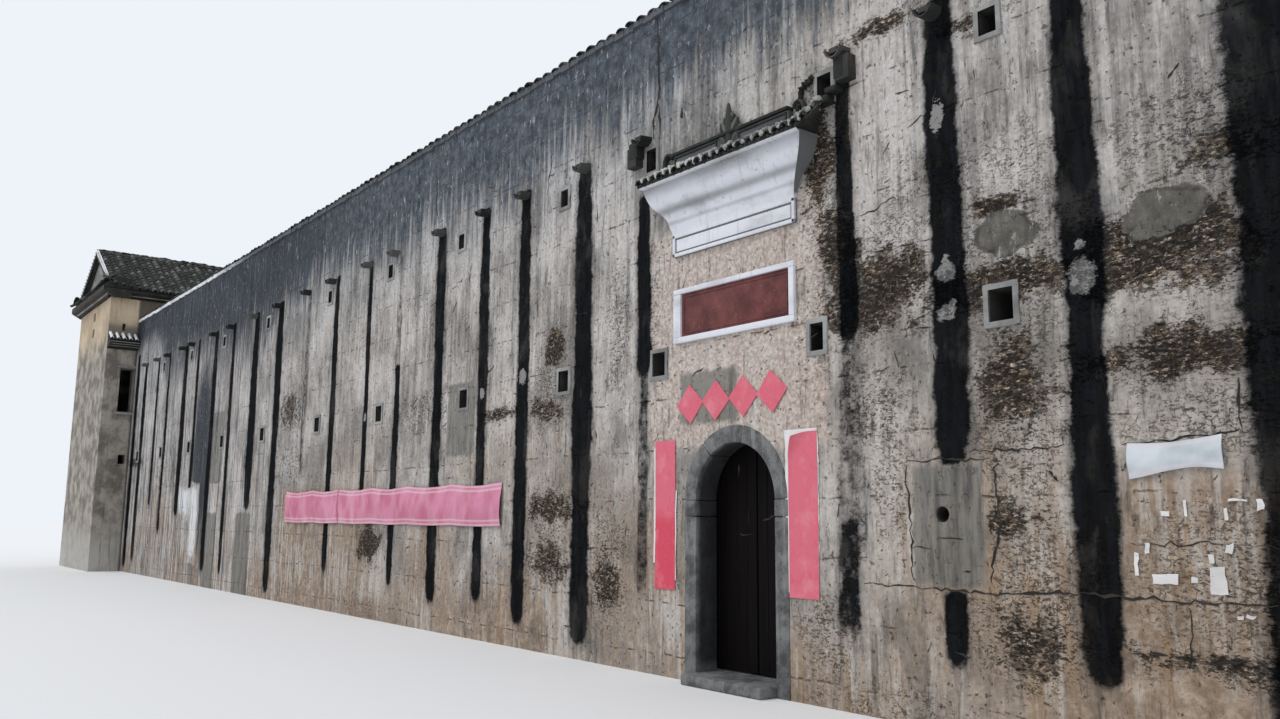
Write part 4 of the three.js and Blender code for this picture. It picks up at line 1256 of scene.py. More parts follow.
FIRST_JOINT, SECOND_JOINT, GAP = math.radians(79), math.radians(128), math.radians(0.35)
arch = join([curved_stone(0.0, FIRST_JOINT - GAP), curved_stone(FIRST_JOINT + GAP, SECOND_JOINT - GAP),
             curved_stone(SECOND_JOINT + GAP, math.pi)])
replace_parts(finish_piece(arch, "gate_arch_stones", STONE, smooth=35), "gate_arch")

step_stone = bar((-OPENING + 0.001, FRONT - 0.23, 0), (OPENING - 0.001, FRONT + REVEAL, STEP_TOP), 0.02, 3)
sill_stone = bar((-0.734, FRONT + REVEAL + 0.002, 0), (0.734, FRONT + 0.48, STEP_TOP), 0.008)
threshold = finish_piece(join([step_stone, sill_stone]), "threshold_stones", STONE, smooth=35)
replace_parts(threshold, "threshold")

# %% [markdown]
# The two leaves are made of upright planks on rails, and turn on wooden pins at the top and the bottom,
# right behind the stones. Each plank is its own block, so the joints between them catch a little light.

# %% Gate leaves
LEAF_FRONT, LEAF_BACK = FRONT + 0.300, FRONT + 0.370
LEAF_INNER, LEAF_OUTER = 0.008, 0.700  # from the middle of the gate
LEAF_FOOT, LEAF_TOP = 0.121, 2.499
PLANKS, PLANK_DEPTH, JOINT = 5, 0.048, 0.0024
RAILS, RAIL_HEIGHT = (0.42, 1.30, 2.18), 0.12
PINS = ((0.046, 0.123), (2.497, 2.619))  # from where to where each wooden pin stands
PIN_RADIUS, PIN_PLACE = 0.024, (0.665, FRONT + 0.335)


def gate_leaf(side):
    edges = np.linspace(LEAF_INNER, LEAF_OUTER, PLANKS + 1)
    pieces = []
    for near, far in zip(edges, edges[1:]):
        low, high = sorted((side * (near + JOINT / 2), side * (far - JOINT / 2)))
        pieces.append(bar((low, LEAF_FRONT, LEAF_FOOT), (high, LEAF_FRONT + PLANK_DEPTH, LEAF_TOP), 0.004, 1))
    for foot in RAILS:
        low, high = sorted((side * (LEAF_INNER + 0.03), side * (LEAF_OUTER - 0.01)))
        near = LEAF_FRONT + PLANK_DEPTH + 0.001
        pieces.append(bar((low, near, foot), (high, LEAF_BACK, foot + RAIL_HEIGHT), 0.006, 1))
    for low, high in PINS:
        middle = np.array([side * PIN_PLACE[0], PIN_PLACE[1], (low + high) / 2])
        bpy.ops.mesh.primitive_cylinder_add(
            vertices=20, radius=PIN_RADIUS * HALF, depth=(high - low) * HALF, location=tuple(middle * HALF))
        pieces.append(bevelled(bpy.context.object, 0.004, 1))
    return join(pieces)


for name, side in (("left", -1), ("right", 1)):
    body = f"door_leaf_{name}"
    leaf = finish_piece(gate_leaf(side), f"gate_planks_{name}", DOOR, body=body, smooth=35)
    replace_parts(leaf, f"door_leaf_{name}")

# %% [markdown]
# Over the gate a white cornice sweeps out of the wall: a framed band, and above it a long double curve
# with soft ridges left by the running mould. It is one grid. Its rows climb the profile, and its columns
# run from the wall along the left end, the front and the right end back to the wall.

# %% Cornice
BAND_HALF, BAND_LOW, BAND_TOP, BAND_OUT = 0.90, 4.40, 4.64, 0.060
COVE_HALF, COVE_TOP, COVE_OUT = 1.16, 5.19, 0.250


def cornice_profile(t):
    """Half width and reach of the cove, from its foot at 0 to its top at 1."""
    sweep = t - 0.45 * np.sin(2 * math.pi * t) / math.pi
    waves = 0.013 * np.sin(2.6 * math.pi * t) ** 2 * (1 - 0.6 * t) + 0.012 * step(t, 0.965, 0.975)
    half = BAND_HALF + (COVE_HALF - BAND_HALF) * sweep + waves
    lip = 0.045 * step(t, 0.968, 0.980)
    return half, BAND_OUT + (COVE_OUT - BAND_OUT) * sweep + waves + lip, BAND_TOP + (COVE_TOP - BAND_TOP) * t


def soft_line(t, middle, width):
    """1 at the middle, fading on both sides."""
    return np.exp(-((t - middle) / width) ** 2)


def cornice():
    across = np.concatenate([[0.0, 0.5], 1 + np.linspace(0, 1, 60), [2.04, 2.5, 3.0]])
    up = np.concatenate([np.linspace(0, 0.04, 3), np.linspace(0.07, 0.96, 34), [0.965, 0.97, 0.975, 1.0]])
    kept = {}

    def shape(path, t):
        half, reach, z = cornice_profile(t)
        x = np.clip(2 * (path - 1) - 1, -1, 1) * half
        y = FRONT - reach * np.clip(np.minimum(path, 3 - path), 0, 1)
        kept["path"], kept["t"] = path, t
        return np.stack([x, y, z], -1) * HALF

    cove = sheet_grid(across, up, shape)
    path, t = kept["path"], kept["t"]
    # painted shade, with some grime: darker bands in the cove's hollows, over its upper part and on the right
    # end's return
    shade_and_grime = 0.66 * step(t, 0.56, 0.96) * (1.25 - 0.25 * path) * step(-t, -0.975, -0.965)
    shade_and_grime = shade_and_grime + 0.60 * soft_line(t, 0.47, 0.08) + 0.42 * soft_line(t, 0.24, 0.05)
    shade_and_grime = np.maximum(shade_and_grime, 1.2 * step(path, 1.995, 2.03) * step(t, 0.02, 0.14))
    set_values(cove, "shade_and_grime", shade_and_grime)
    thick(cove, 0.008)
    band = bar((-BAND_HALF, FRONT - BAND_OUT + 0.016, BAND_LOW),
               (BAND_HALF, FRONT - 0.001, BAND_TOP + 0.004), 0.004)
    # painted shade in the groove round the band's panel
    set_values(band, "shade_and_grime", 1.1)
    edge, inset = 0.036, 0.055
    near, far = FRONT - BAND_OUT, FRONT - BAND_OUT + 0.03
    spans = ((-BAND_HALF, BAND_HALF, BAND_LOW, BAND_LOW + edge),
             (-BAND_HALF, BAND_HALF, BAND_TOP - edge, BAND_TOP + 0.004),
             (-BAND_HALF, -BAND_HALF + edge, BAND_LOW, BAND_TOP),
             (BAND_HALF - edge, BAND_HALF, BAND_LOW, BAND_TOP))
    borders = [bar((x0, near, z0), (x1, far, z1), 0.005) for x0, x1, z0, z1 in spans]
    borders.append(bar((-BAND_HALF + inset, near + 0.010, BAND_LOW + inset),
                       (BAND_HALF - inset, far, BAND_TOP - inset), 0.004))
    return face_outwards(join([cove, band, *borders]))


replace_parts(finish_piece(cornice(), "cornice_plaster", WHITE, smooth=30), "cornice")

# %% [markdown]
# On the cornice lies a short roof of barrel tiles, bedded in white mortar that has been dabbed over them.
# The row turns up at its right end, which is cut back on a slant towards the wall. Its left end has broken
# off. A share says how far a point is from the wall, from 0 at the wall to 1 at the eave.

# %% Tiles over the cornice
PENT_REACH, PENT_LIFT, PENT_STRAIGHT = 0.33, 0.115, 1.115
PENT_END, PENT_SLANT = 1.48, 0.29
TILE_SPOTS = np.arange(-1.13, 1.44, 0.122)


def pent_lift(x, share=1.0):
    """How far the row is turned up at a place."""
    edge = PENT_END - PENT_SLANT * (1 - share)
    return PENT_LIFT * np.clip((x - PENT_STRAIGHT) / (edge - PENT_STRAIGHT), 0, 1) ** 2


def slant_share(x):
    """Where the slanted end cuts a tile off."""
    return np.clip(1 - (PENT_END - x) / PENT_SLANT, 0, 0.8)


def cornice_tiles():
    tile = face_outwards(thick(half_round(9, [0.0, 0.5, 1.0]), 0.22))
    spots = TILE_SPOTS
    count = 2 * len(spots) - 1
    which, co = copies(tile, count)
    lot = np.random.default_rng(21)
    upper = which < len(spots)
    x0 = spots[which % len(spots)] + np.where(upper, 0, 0.061)
    radius = np.where(upper, 0.048, 0.042) * (1 + lot.uniform(-0.10, 0.10, count)[which])
    x = x0 + co[:, 0] * radius
    near = slant_share(x0 + 0.04)
    share = near + (1 - near) * co[:, 1]
    reach = PENT_REACH + np.where(upper, 0.030, 0.018) + lot.uniform(-0.015, 0.012, count)[which]
    fall = 0.105 + (0.030 - 0.105) * share
    z = COVE_TOP + fall - 0.008 + co[:, 2] * radius * np.where(upper, 1, -0.75) + pent_lift(x0, share)
    set_points(tile.data, np.stack([x, FRONT - reach * share, z], -1) * HALF)
    set_values(tile, "tone", lot.uniform(0, 0.40, count)[which])
    face_outwards(tile)
    return finish_piece(tile, "cornice_barrel_tiles", TILE)


def dabs(name, places, material, seed):
    """Lumps of mortar: each a small ball, pressed flat and made uneven. A place is a point and a size."""
    bpy.ops.mesh.primitive_ico_sphere_add(subdivisions=3, radius=1)
    lump = bpy.context.object
    which, co = copies(lump, len(places))
    centre, size = np.array([p[0] for p in places]), np.array([p[1] for p in places])
    lot = np.random.default_rng(seed)
    turn = lot.uniform(0, 6.3, (len(places), 3))[which]
    uneven = 1
    for much, pace, axis, start in ((0.22, 3.1, 0, 0), (0.18, 4.3, 2, 1), (0.12, 7.7, 1, 2)):
        uneven = uneven + much * np.sin(pace * co[:, [axis]] + turn[:, [start]])
    set_points(lump.data, (centre[which] + co * uneven * size[which]) * HALF)
    return finish_piece(lump, name, material, smooth=60)


cornice_tiles()
lot = np.random.default_rng(31)
pale, dark = [], []
for x in TILE_SPOTS[:-1] + 0.061:
    z = COVE_TOP + 0.052 + float(pent_lift(x)) + lot.uniform(-0.008, 0.008)
    pale.append(((x + lot.uniform(-0.012, 0.012), FRONT - PENT_REACH - 0.022, z),
                 (lot.uniform(0.014, 0.024), 0.016, lot.uniform(0.022, 0.034))))
for x in np.arange(-1.17, PENT_END - 0.03, 0.034):
    z = COVE_TOP + 0.084 + float(pent_lift(x)) + lot.uniform(-0.006, 0.008)
    pale.append(((x + lot.uniform(-0.010, 0.010), FRONT - lot.uniform(0.305, 0.335), z),
                 (lot.uniform(0.022, 0.034), 0.030, lot.uniform(0.011, 0.020))))
for index in range(46):
    along = lot.uniform(0, 1)
    x = 1.08 + 0.36 * along
    share = max(lot.uniform(0.3, 0.95), float(slant_share(np.array(x))) + 0.06)
    z = COVE_TOP + 0.145 - 0.075 * share + float(pent_lift(x, share)) + lot.uniform(0.0, 0.03)
    lump = ((x, FRONT - PENT_REACH * share, z), (lot.uniform(0.02, 0.04), 0.035, lot.uniform(0.014, 0.026)))
    (dark if index % 3 == 0 else pale).append(lump)
for index in range(12):
    share = lot.uniform(0.2, 0.95)
    lump = ((-1.05 - 0.13 * lot.random(), FRONT - PENT_REACH * share, COVE_TOP + 0.150 - 0.075 * share),
            (lot.uniform(0.02, 0.035), 0.03, lot.uniform(0.012, 0.022)))
    (dark if index % 3 == 0 else pale).append(lump)
HORN = [(0.965, 5.50), (0.97, 5.54), (0.98, 5.58), (0.985, 5.62), (0.99, 5.66), (1.01, 5.69),
        (1.04, 5.715), (1.075, 5.725), (1.11, 5.735), (1.14, 5.76)]
for x, z in HORN:
    dark.append(((x, FRONT - 0.035, z), (0.022, 0.04, 0.026)))
dabs("cornice_mortar", pale, MORTAR, 5)
dabs("cornice_horn", dark, TILE_BED, 6)

# %% [markdown]
# The little roof ends in a low ridge against the wall: a panelled slab with a raised border, a pierced
# leaf in the middle, and a curl at either end. Two dark blocks stand where its ends once met the windows.

# %% Cornice ridge
RIDGE_FOOT = 5.302
RIDGE_TOP = RIDGE_FOOT + 0.24


def toned(piece, value):
    """Gives a piece one tone for the tile material, from 0 for dark to 1 for light."""
    set_values(piece, "tone", value)
    return piece


def leaf_shape(length, width, place_of, lean):
    """A pointed leaf standing on its stem, leaning sideways."""
    t = np.linspace(0, 1, 9)
    across = np.linspace(-1, 1, 5)

    def shape(s, a):
        wide = width * np.sin(math.pi * np.clip(s, 0, 1)) ** 0.7 + 0.004
        x, z = a * wide, s * length
        bulge = 0.018 * (1 - a * a) * np.sin(math.pi * s)
        turned_x = x * math.cos(lean) + z * math.sin(lean)
        turned_z = -x * math.sin(lean) + z * math.cos(lean)
        return np.stack([place_of[0] + turned_x, place_of[1] - bulge, place_of[2] + turned_z], -1) * HALF

    blade = sheet_grid(t, across, shape)
    thick(blade, 0.012)
    return face_outwards(blade)


def curl(side):
    """A scroll that rises at the ridge's end and turns back on itself."""
    t = np.linspace(0, 1, 31)
    across = np.linspace(0, 2 * math.pi, 9)

    def shape(s, a):
        angle = -0.5 * math.pi + 4.4 * s
        radius = 0.12 * (1 - 0.72 * s)
        x = 0.955 + radius * np.cos(angle)
        z = RIDGE_FOOT + 0.20 + radius * np.sin(angle) * 1.25
        band = 0.026 * (1 - 0.5 * s)
        return np.stack([side * (x + band * np.cos(a) * np.cos(angle)),
                         FRONT - 0.048 - 0.036 * np.sin(a),
                         z + band * np.cos(a) * np.sin(angle)], -1) * HALF

    scroll = weld(sheet_grid(t, across, shape))
    return face_outwards(scroll)


LEAVES = [  # length, half width, lean, how far up the stem, tone
    (0.33, 0.034, 0.40, 0.00, 0.1), (0.25, 0.030, 0.78, 0.04, 0.6), (0.21, 0.028, 0.55, 0.13, 0.8),
    (0.15, 0.024, 0.52, 0.22, 0.2), (0.10, 0.020, 0.48, 0.30, 0.7),
]


def cornice_ridge():
    y = (FRONT - 0.088, FRONT - 0.001)
    cap = toned(bar((-0.87, y[0] - 0.016, RIDGE_TOP - 0.022), (0.87, y[1], RIDGE_TOP + 0.014), 0.008), 0.1)
    borders = []
    for low, high in ((-0.84, -0.16), (0.16, 0.84)):
        spans = ((low, high, 0.085, 0.100), (low, high, 0.185, 0.200), (low, low + 0.02, 0.085, 0.200),
                 (high - 0.02, high, 0.085, 0.200))
        for x0, x1, z0, z1 in spans:
            side_bar = bar((x0, y[0], RIDGE_FOOT + z0), (x1, y[0] + 0.02, RIDGE_FOOT + z1), 0.004)
            borders.append(toned(side_bar, 0.3))
    stem = np.array([0.02, FRONT - 0.05, RIDGE_FOOT + 0.06])
    leaves = [toned(leaf_shape(0.49, 0.036, stem - (0, 0.012, 0), 0.0), 0.35)]
    for length, width, lean, raised, tone in LEAVES:
        for side in (-1, 1):
            leaves.append(toned(leaf_shape(length, width, stem + (0, 0, raised), side * lean), tone))
    return join([cap, *borders, *leaves, toned(curl(-1), 0.4), toned(curl(1), 0.4)])


slab = bar((-0.86, FRONT - 0.074, RIDGE_FOOT), (0.86, FRONT - 0.001, RIDGE_TOP), 0.004)
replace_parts(finish_piece(slab, "cornice_ridge_slab", RIDGE_GREY, smooth=35), "cornice_ridge")
finish_piece(cornice_ridge(), "cornice_ridge_work", TILE, smooth=35)

END_BLOCKS = [  # left, right, low, high
    (-1.625, -1.462, 5.670, 5.870), (1.470, 1.590, 5.600, 5.890), (1.36, 1.50, 5.50, 5.56),
    (1.18, 1.40, 5.42, 5.50),
]
ends = [bar((x0, FRONT - 0.128, z0), (x1, FRONT - 0.004, z1), 0.02) for x0, x1, z0, z1 in END_BLOCKS]
finish_piece(toned(join(ends), 0.0), "ridge_end_blocks", TILE, smooth=35)

# %% [markdown]
# The tablet is a red painted board of plaster in a white frame. Nothing is written on ours, but it keeps
# the thin raised border inside its edge.

# %% Tablet
def inset(box, by):
    """A smaller rectangle. A box is left, right, low and high."""
    return box[0] + by, box[1] - by, box[2] + by, box[3] - by


def frame_bars(outer, inner, y, bevel):
    """Four bars that fill what lies between two rectangles."""
    (x0, x1, z0, z1), (left, right, low, high) = outer, inner
    spans = ((x0, x1, z0, low), (x0, x1, high, z1), (x0, left, low, high), (right, x1, low, high))
    return [bar((a, y[0], c), (b, y[1], d), bevel) for a, b, c, d in spans]


TABLET, FRAME = (-0.78, 0.80, 3.515, 3.98), (-0.90, 0.87, 3.45, 4.035)
white_frame = join(frame_bars(FRAME, TABLET, (FRONT - 0.050, FRONT - 0.001), 0.008))
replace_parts(finish_piece(white_frame, "tablet_white_frame", WHITE, smooth=35), "tablet_frame")

left, right, low, high = inset(TABLET, 0.001)
panel = bar((left, FRONT - 0.024, low), (right, FRONT - 0.001, high), 0.004)
beads = frame_bars(inset(TABLET, 0.03), inset(TABLET, 0.046), (FRONT - 0.031, FRONT - 0.02), 0.004)
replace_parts(finish_piece(join([panel, *beads]), "tablet_board", PAINT, smooth=35), "tablet")

# %% [markdown]
# Papers are pasted flat on the plaster: a long one on each side of the gate and four squares set on their
# corners above it. They are thin sheets with slack edges. The right one shows the pale sheet it was
# pasted over, and its upper left corner has come loose.

# %% Papers
PASTED = 0.0235  # how far a paper stands in front of the wall's face


def paper(x, z, columns, rows, lift=0.004, seed=0):
    """A pasted sheet, and each point's share of its width and of its height."""
    shares = {}

    def shape(s, t):
        u, h = x[0] + (x[1] - x[0]) * s, z[0] + (z[1] - z[0]) * t
        slack = lift * (field(u * 3 + seed, h, 0.35, 14) - 0.3)
        slack = slack + 0.5 * lift * (field(u, h + seed, 0.09, 15) - 0.5)
        side_wave = 0.006 * (field(h * 0 + seed, h, 0.28, 16) - 0.5)
        shares["across"], shares["up"] = s, t
        return on_front(u + side_wave, PASTED + slack, h)

    made = sheet_grid(np.linspace(0, 1, columns + 1), np.linspace(0, 1, rows + 1), shape)
    return made, shares["across"], shares["up"]


left_paper, s, t = paper((-1.215, -0.885), (0.885, 2.43), 8, 60, seed=1.7)
set_values(left_paper, "strong", 0.15 + 0.85 * step(-t, -0.56, -0.42))
thick(left_paper, 0.0012)
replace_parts(finish_piece(left_paper, "left_gate_paper", PAPER, smooth=60), "couplet_left")

right_paper, s, t = paper((0.745, 1.105), (0.910, 2.410), 12, 60, seed=4.1)
co = points(right_paper.data)
curl_back = np.clip((0.17 - (s * 0.36 + (1 - t) * 1.5) / 1.6) / 0.17, 0, 1)
co[:, 1] -= 0.030 * curl_back ** 1.2
co[:, 0] += 0.045 * curl_back ** 1.5
co[:, 2] -= 0.020 * curl_back ** 1.5
set_points(right_paper.data, co)
set_values(right_paper, "strong", 0.10)
thick(right_paper, 0.0012)
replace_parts(finish_piece(right_paper, "right_gate_paper", PAPER, smooth=60), "couplet_right")

under_paper, s, t = paper((0.700, 1.112), (0.955, 2.436), 8, 50, lift=0.002, seed=6.2)
co = points(under_paper.data)
co[:, 1] += 0.0018
co[:, 0] += 0.012 * (field(t * 9, t * 9, 0.6, 17) - 0.5)
set_points(under_paper.data, co)
thick(under_paper, 0.001)
finish_piece(under_paper, "pale_paper_strip", PALE_PAPER, smooth=60)

diamonds = []
for index in range(4):
    centre_x, centre_z, half = -0.65 + 0.397 * index, 2.79 + 0.010 * index, 0.208
    tilt = (0.05, -0.04, 0.02, 0.07)[index]

    def shape(s, t, index=index, centre_x=centre_x, centre_z=centre_z, tilt=tilt, half=half):
        a, b = (s - t) * half, (s + t) * half
        x = centre_x + a * math.cos(tilt) - b * math.sin(tilt)
        z = centre_z + a * math.sin(tilt) + b * math.cos(tilt)
        slack = 0.005 * (field(x, z, 0.16, 18) - 0.4) + 0.014 * np.abs(s * t) ** 3 + 0.0025 * (index % 2)
        return on_front(x, PASTED + slack, z)

    lines = np.linspace(-0.5, 0.5, 11)
    diamonds.append(thick(sheet_grid(lines, lines, shape), 0.0012))
diamond_papers = join(diamonds)
set_values(diamond_papers, "strong", 0.25)
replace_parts(finish_piece(diamond_papers, "diamond_sheets", PAPER, smooth=60), "diamond_papers")

# %% [markdown]
# Right of the gate, notices were once pasted up and torn off again. Only scraps of them are left, and two
# narrow strips beside the left paper.

# %% Scraps of paper
SCRAPS = [  # left, right, low, high
    (4.07, 4.24, 1.21, 1.27), (4.43, 4.54, 1.16, 1.33), (4.44, 4.47, 1.35, 1.41), (4.32, 4.37, 1.23, 1.26),
    (4.58, 4.62, 1.01, 1.03), (4.64, 4.70, 1.02, 1.04), (4.55, 4.59, 1.42, 1.48), (4.59, 4.69, 1.74, 1.76),
    (4.75, 4.79, 1.69, 1.76), (4.56, 4.58, 1.62, 1.70), (3.95, 3.98, 1.26, 1.41), (4.16, 4.21, 1.66, 1.69),
    (4.31, 4.33, 1.65, 1.75), (4.03, 4.06, 1.40, 1.47), (-1.238, -1.214, 1.15, 2.36),
    (-0.886, -0.868, 0.98, 1.90),
]
scraps = [thick(paper((x0, x1), (z0, z1), 3, 4, lift=0.002, seed=index * 0.7)[0], 0.0008)
          for index, (x0, x1, z0, z1) in enumerate(SCRAPS)]
scraps = join(scraps)
co = points(scraps.data)
torn_x = field(co[:, 2] * 9, co[:, 0] * 7, 0.2, 24) - 0.5
torn_z = field(co[:, 0] * 11, co[:, 2] * 8, 0.2, 25) - 0.5
set_points(scraps.data, co + 0.012 * np.stack([torn_x, co[:, 0] * 0, torn_z], -1))
finish_piece(scraps, "paper_scraps", PALE_PAPER, smooth=60)

# %% [markdown]
# Cracks run down from the top of the wall, and the edges of its lifts show as broken level seams. Each is
# a thin dark ribbon with a ragged edge, laid on the plaster: painted shade that stands for the open gap.
# A few come from the photograph's places, and short scratches are drawn by lot.

# %% Cracks and seams
CRACKS = [  # width, and the places that the crack passes through
    (0.050, [(-1.24, 7.29), (-1.21, 6.79), (-1.20, 6.43), (-1.23, 6.26), (-1.30, 6.08), (-1.29, 5.86)]),
    (0.035, [(-1.21, 6.25), (-1.18, 6.00), (-1.19, 5.83)]),
    (0.080, [(-0.80, 6.08), (-0.80, 5.96)]),
    (0.022, [(-3.40, 6.30), (-3.41, 6.11), (-3.49, 5.91), (-3.49, 5.74)]),
    (0.022, [(-5.22, 7.22), (-5.16, 6.98)]),
    (0.025, [(-6.74, 6.95), (-6.66, 6.75), (-6.66, 6.32), (-6.55, 6.10)]),
    (0.035, [(-12.10, 4.28), (-11.89, 4.01), (-11.93, 3.52), (-11.86, 2.37)]),
    (0.022, [(4.70, 2.53), (4.69, 2.19)]),
    (0.024, [(2.00, 3.03), (2.04, 2.88)]),
    (0.022, [(2.70, 2.15), (3.10, 2.14), (3.48, 2.16)]),
    (0.022, [(3.92, 2.14), (4.28, 2.16), (4.70, 2.19)]),
    (0.014, [(1.60, 3.96), (2.03, 3.92), (2.44, 3.92)]),
    (0.028, [(1.61, 1.08), (2.13, 1.08), (2.83, 1.07), (3.55, 1.11), (4.21, 1.10), (4.83, 1.11)]),
    (0.030, [(2.93, 2.04), (2.90, 1.89), (2.94, 1.59), (2.83, 1.15)]),
    (0.026, [(2.08, 2.05), (2.10, 1.70), (2.12, 1.12)]),
    (0.020, [(2.10, 2.09), (2.45, 2.10), (2.84, 2.08)]),
    (0.018, [(4.30, 1.07), (4.28, 0.68)]),
    (0.014, [(3.93, 1.46), (4.40, 1.48), (4.85, 1.47)]),
    (0.024, [(4.02, 0.76), (4.13, 0.74)]),
    (0.034, [(4.38, 0.72), (4.61, 0.76)]),
    (0.030, [(2.35, 5.02), (2.20, 4.94)]),
    (0.022, [(1.66, 4.28), (2.05, 4.36)]),
    (0.018, [(2.12, 1.40), (2.30, 1.39)]),
    (0.020, [(2.38, 1.47), (2.62, 1.47)]),
    (0.030, [(3.42, 1.90), (3.36, 1.98)]),
]
for _ in range(90):
    across, height = lot.uniform(-8.0, 5.2), lot.uniform(0.3, 6.9)
    lean, length = lot.choice([0.15, 1.45]) + lot.normal(0, 0.25), lot.uniform(0.05, 0.20)
    ends_at = (across + length * math.cos(lean), height + length * math.sin(lean))
    CRACKS.append((lot.uniform(0.010, 0.026), [(across, height), ends_at]))


def ribbon(width, stops, seed):
    """A crack's ribbon along its stops, thinner towards its ends."""
    chance = np.random.default_rng(seed)
    stops = np.array(stops)
    walked = np.concatenate([[0], np.cumsum(np.hypot(*np.diff(stops, axis=0).T))])
    count = max(4, int(walked[-1] / 0.045))
    way = np.linspace(0, walked[-1], count + 1)
    wobble = chance.normal(0, 0.008, (2, count + 1)) * min(1, walked[-1] / 0.3)
    u, z = np.interp(way, walked, stops[:, 0]) + wobble[0], np.interp(way, walked, stops[:, 1]) + wobble[1]
    along = np.stack([np.gradient(u), np.gradient(z)])
    along = along / np.hypot(*along)
    taper = np.sqrt(np.sin(np.linspace(0.06, math.pi - 0.06, count + 1)))
    half = 0.5 * width * chance.uniform(0.15, 1.0, count + 1) * taper

    def shape(index, side):
        i = np.rint(index).astype(int)
        place_u, place_z = u[i] - along[1, i] * half[i] * side, z[i] + along[0, i] * half[i] * side
        marks = wall_fields(WALLS["front"], place_u, place_z, True)
        return on_front(place_u, coat_depth(place_u, place_z, marks) + 0.004, place_z)

    return thick(sheet_grid(np.arange(count + 1.0), [-1.0, 0.0, 1.0], shape), 0.0008)


ribbons = [ribbon(width, stops, index) for index, (width, stops) in enumerate(CRACKS)]
finish_piece(face_outwards(join(ribbons)), "plaster_cracks", CRACK_SHADE, smooth=60)

# %% [markdown]
# Two cloths hang on the wall: a long pink banner, held by ties along its upper edge and slack between
# them, and a small white one on two nails. Their folds are shallow, as the cloth is nearly stretched.

# %% Cloths
def hung_cloth(name, x, z, cells, ties, sag, wave, material, node_name, seam=None,
               corners=(0, 0, 0, 0), slack=0.0):
    """ties are the places that hold the cloth up. corners raise it at the upper, then the lower ends."""
    kept = {}

    def shape(s, t):
        u = x[0] + (x[1] - x[0]) * s
        span = np.interp(u, ties, np.arange(len(ties)))
        loose = np.abs(np.sin(math.pi * span))
        dip = sag * loose * (0.35 + 0.65 * t)
        tilt = corners[0] * (1 - s) * t + corners[1] * s * t
        tilt = tilt + corners[2] * (1 - s) * (1 - t) + corners[3] * s * (1 - t)
        h = z[0] + (z[1] - z[0]) * t - dip + tilt + slack * np.sin(math.pi * s ** 1.4) * (1 - t)
        folds = wave * (np.sin(11.0 * u + 3.0 * t) * 0.5 + 0.5) * loose
        folds = folds + wave * 0.8 * (field(u + 0.6 * t, h, 0.22, 19) - 0.3)
        folds = folds + wave * 0.7 * np.sin(math.pi * t)
        folds = folds + wave * 0.35 * (field(u - 0.3 * t, h * 0.3, 0.09, 22) - 0.4)
        kept["up"], kept["u"] = t, u
        return on_front(u, PASTED + 0.006 + np.maximum(folds, 0), h)

    cloth = sheet_grid(np.linspace(0, 1, cells[0] + 1), np.linspace(0, 1, cells[1] + 1), shape)
    set_values(cloth, "hem", sum(soft_line(kept["up"], middle, 0.022) for middle in (0.03, 0.13, 0.87, 0.97)))
    if seam is not None:
        set_values(cloth, "seam", step(-np.abs(kept["u"] - seam), -0.045, -0.015))
    thick(cloth, 0.0008)
    finish_piece(cloth, name, material, smooth=80)
    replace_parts(cloth, node_name)


hung_cloth("pink_banner_cloth", (-12.45, -4.43), (1.50, 2.07), (220, 30),
           [-12.45, -11.1, -9.88, -8.5, -7.2, -5.8, -4.43], 0.035, 0.036, CLOTH,
           "pink_banner", seam=-9.88)
hung_cloth("white_banner_cloth", (3.96, 4.58), (1.93, 2.145), (40, 16),
           [3.96, 4.58], 0.022, 0.022, PALE_CLOTH,
           "white_banner", corners=(0.0, 0.03, -0.03, 0.02), slack=0.040)

# %% [markdown]
# A wall of earth must be kept dry from above. Along its top lies a cap: a bed of white mortar that shows
# as a bright line from below, with short tiles laid across it on both sides, and a low ridge between them.

# %% Coping
COPING_HALF = {"front": 26.0, "back": 26.0, "left": 15.55, "right": 15.55}
COPING_OUT = 0.045
PARAPET = 0.35  # how thick the wall is at its top
BED_TOP, BED_SPACING = 7.402, 0.19
CAP_TOP, CAP_SPACING, CAP_RADIUS = 7.445, 0.205, 0.072


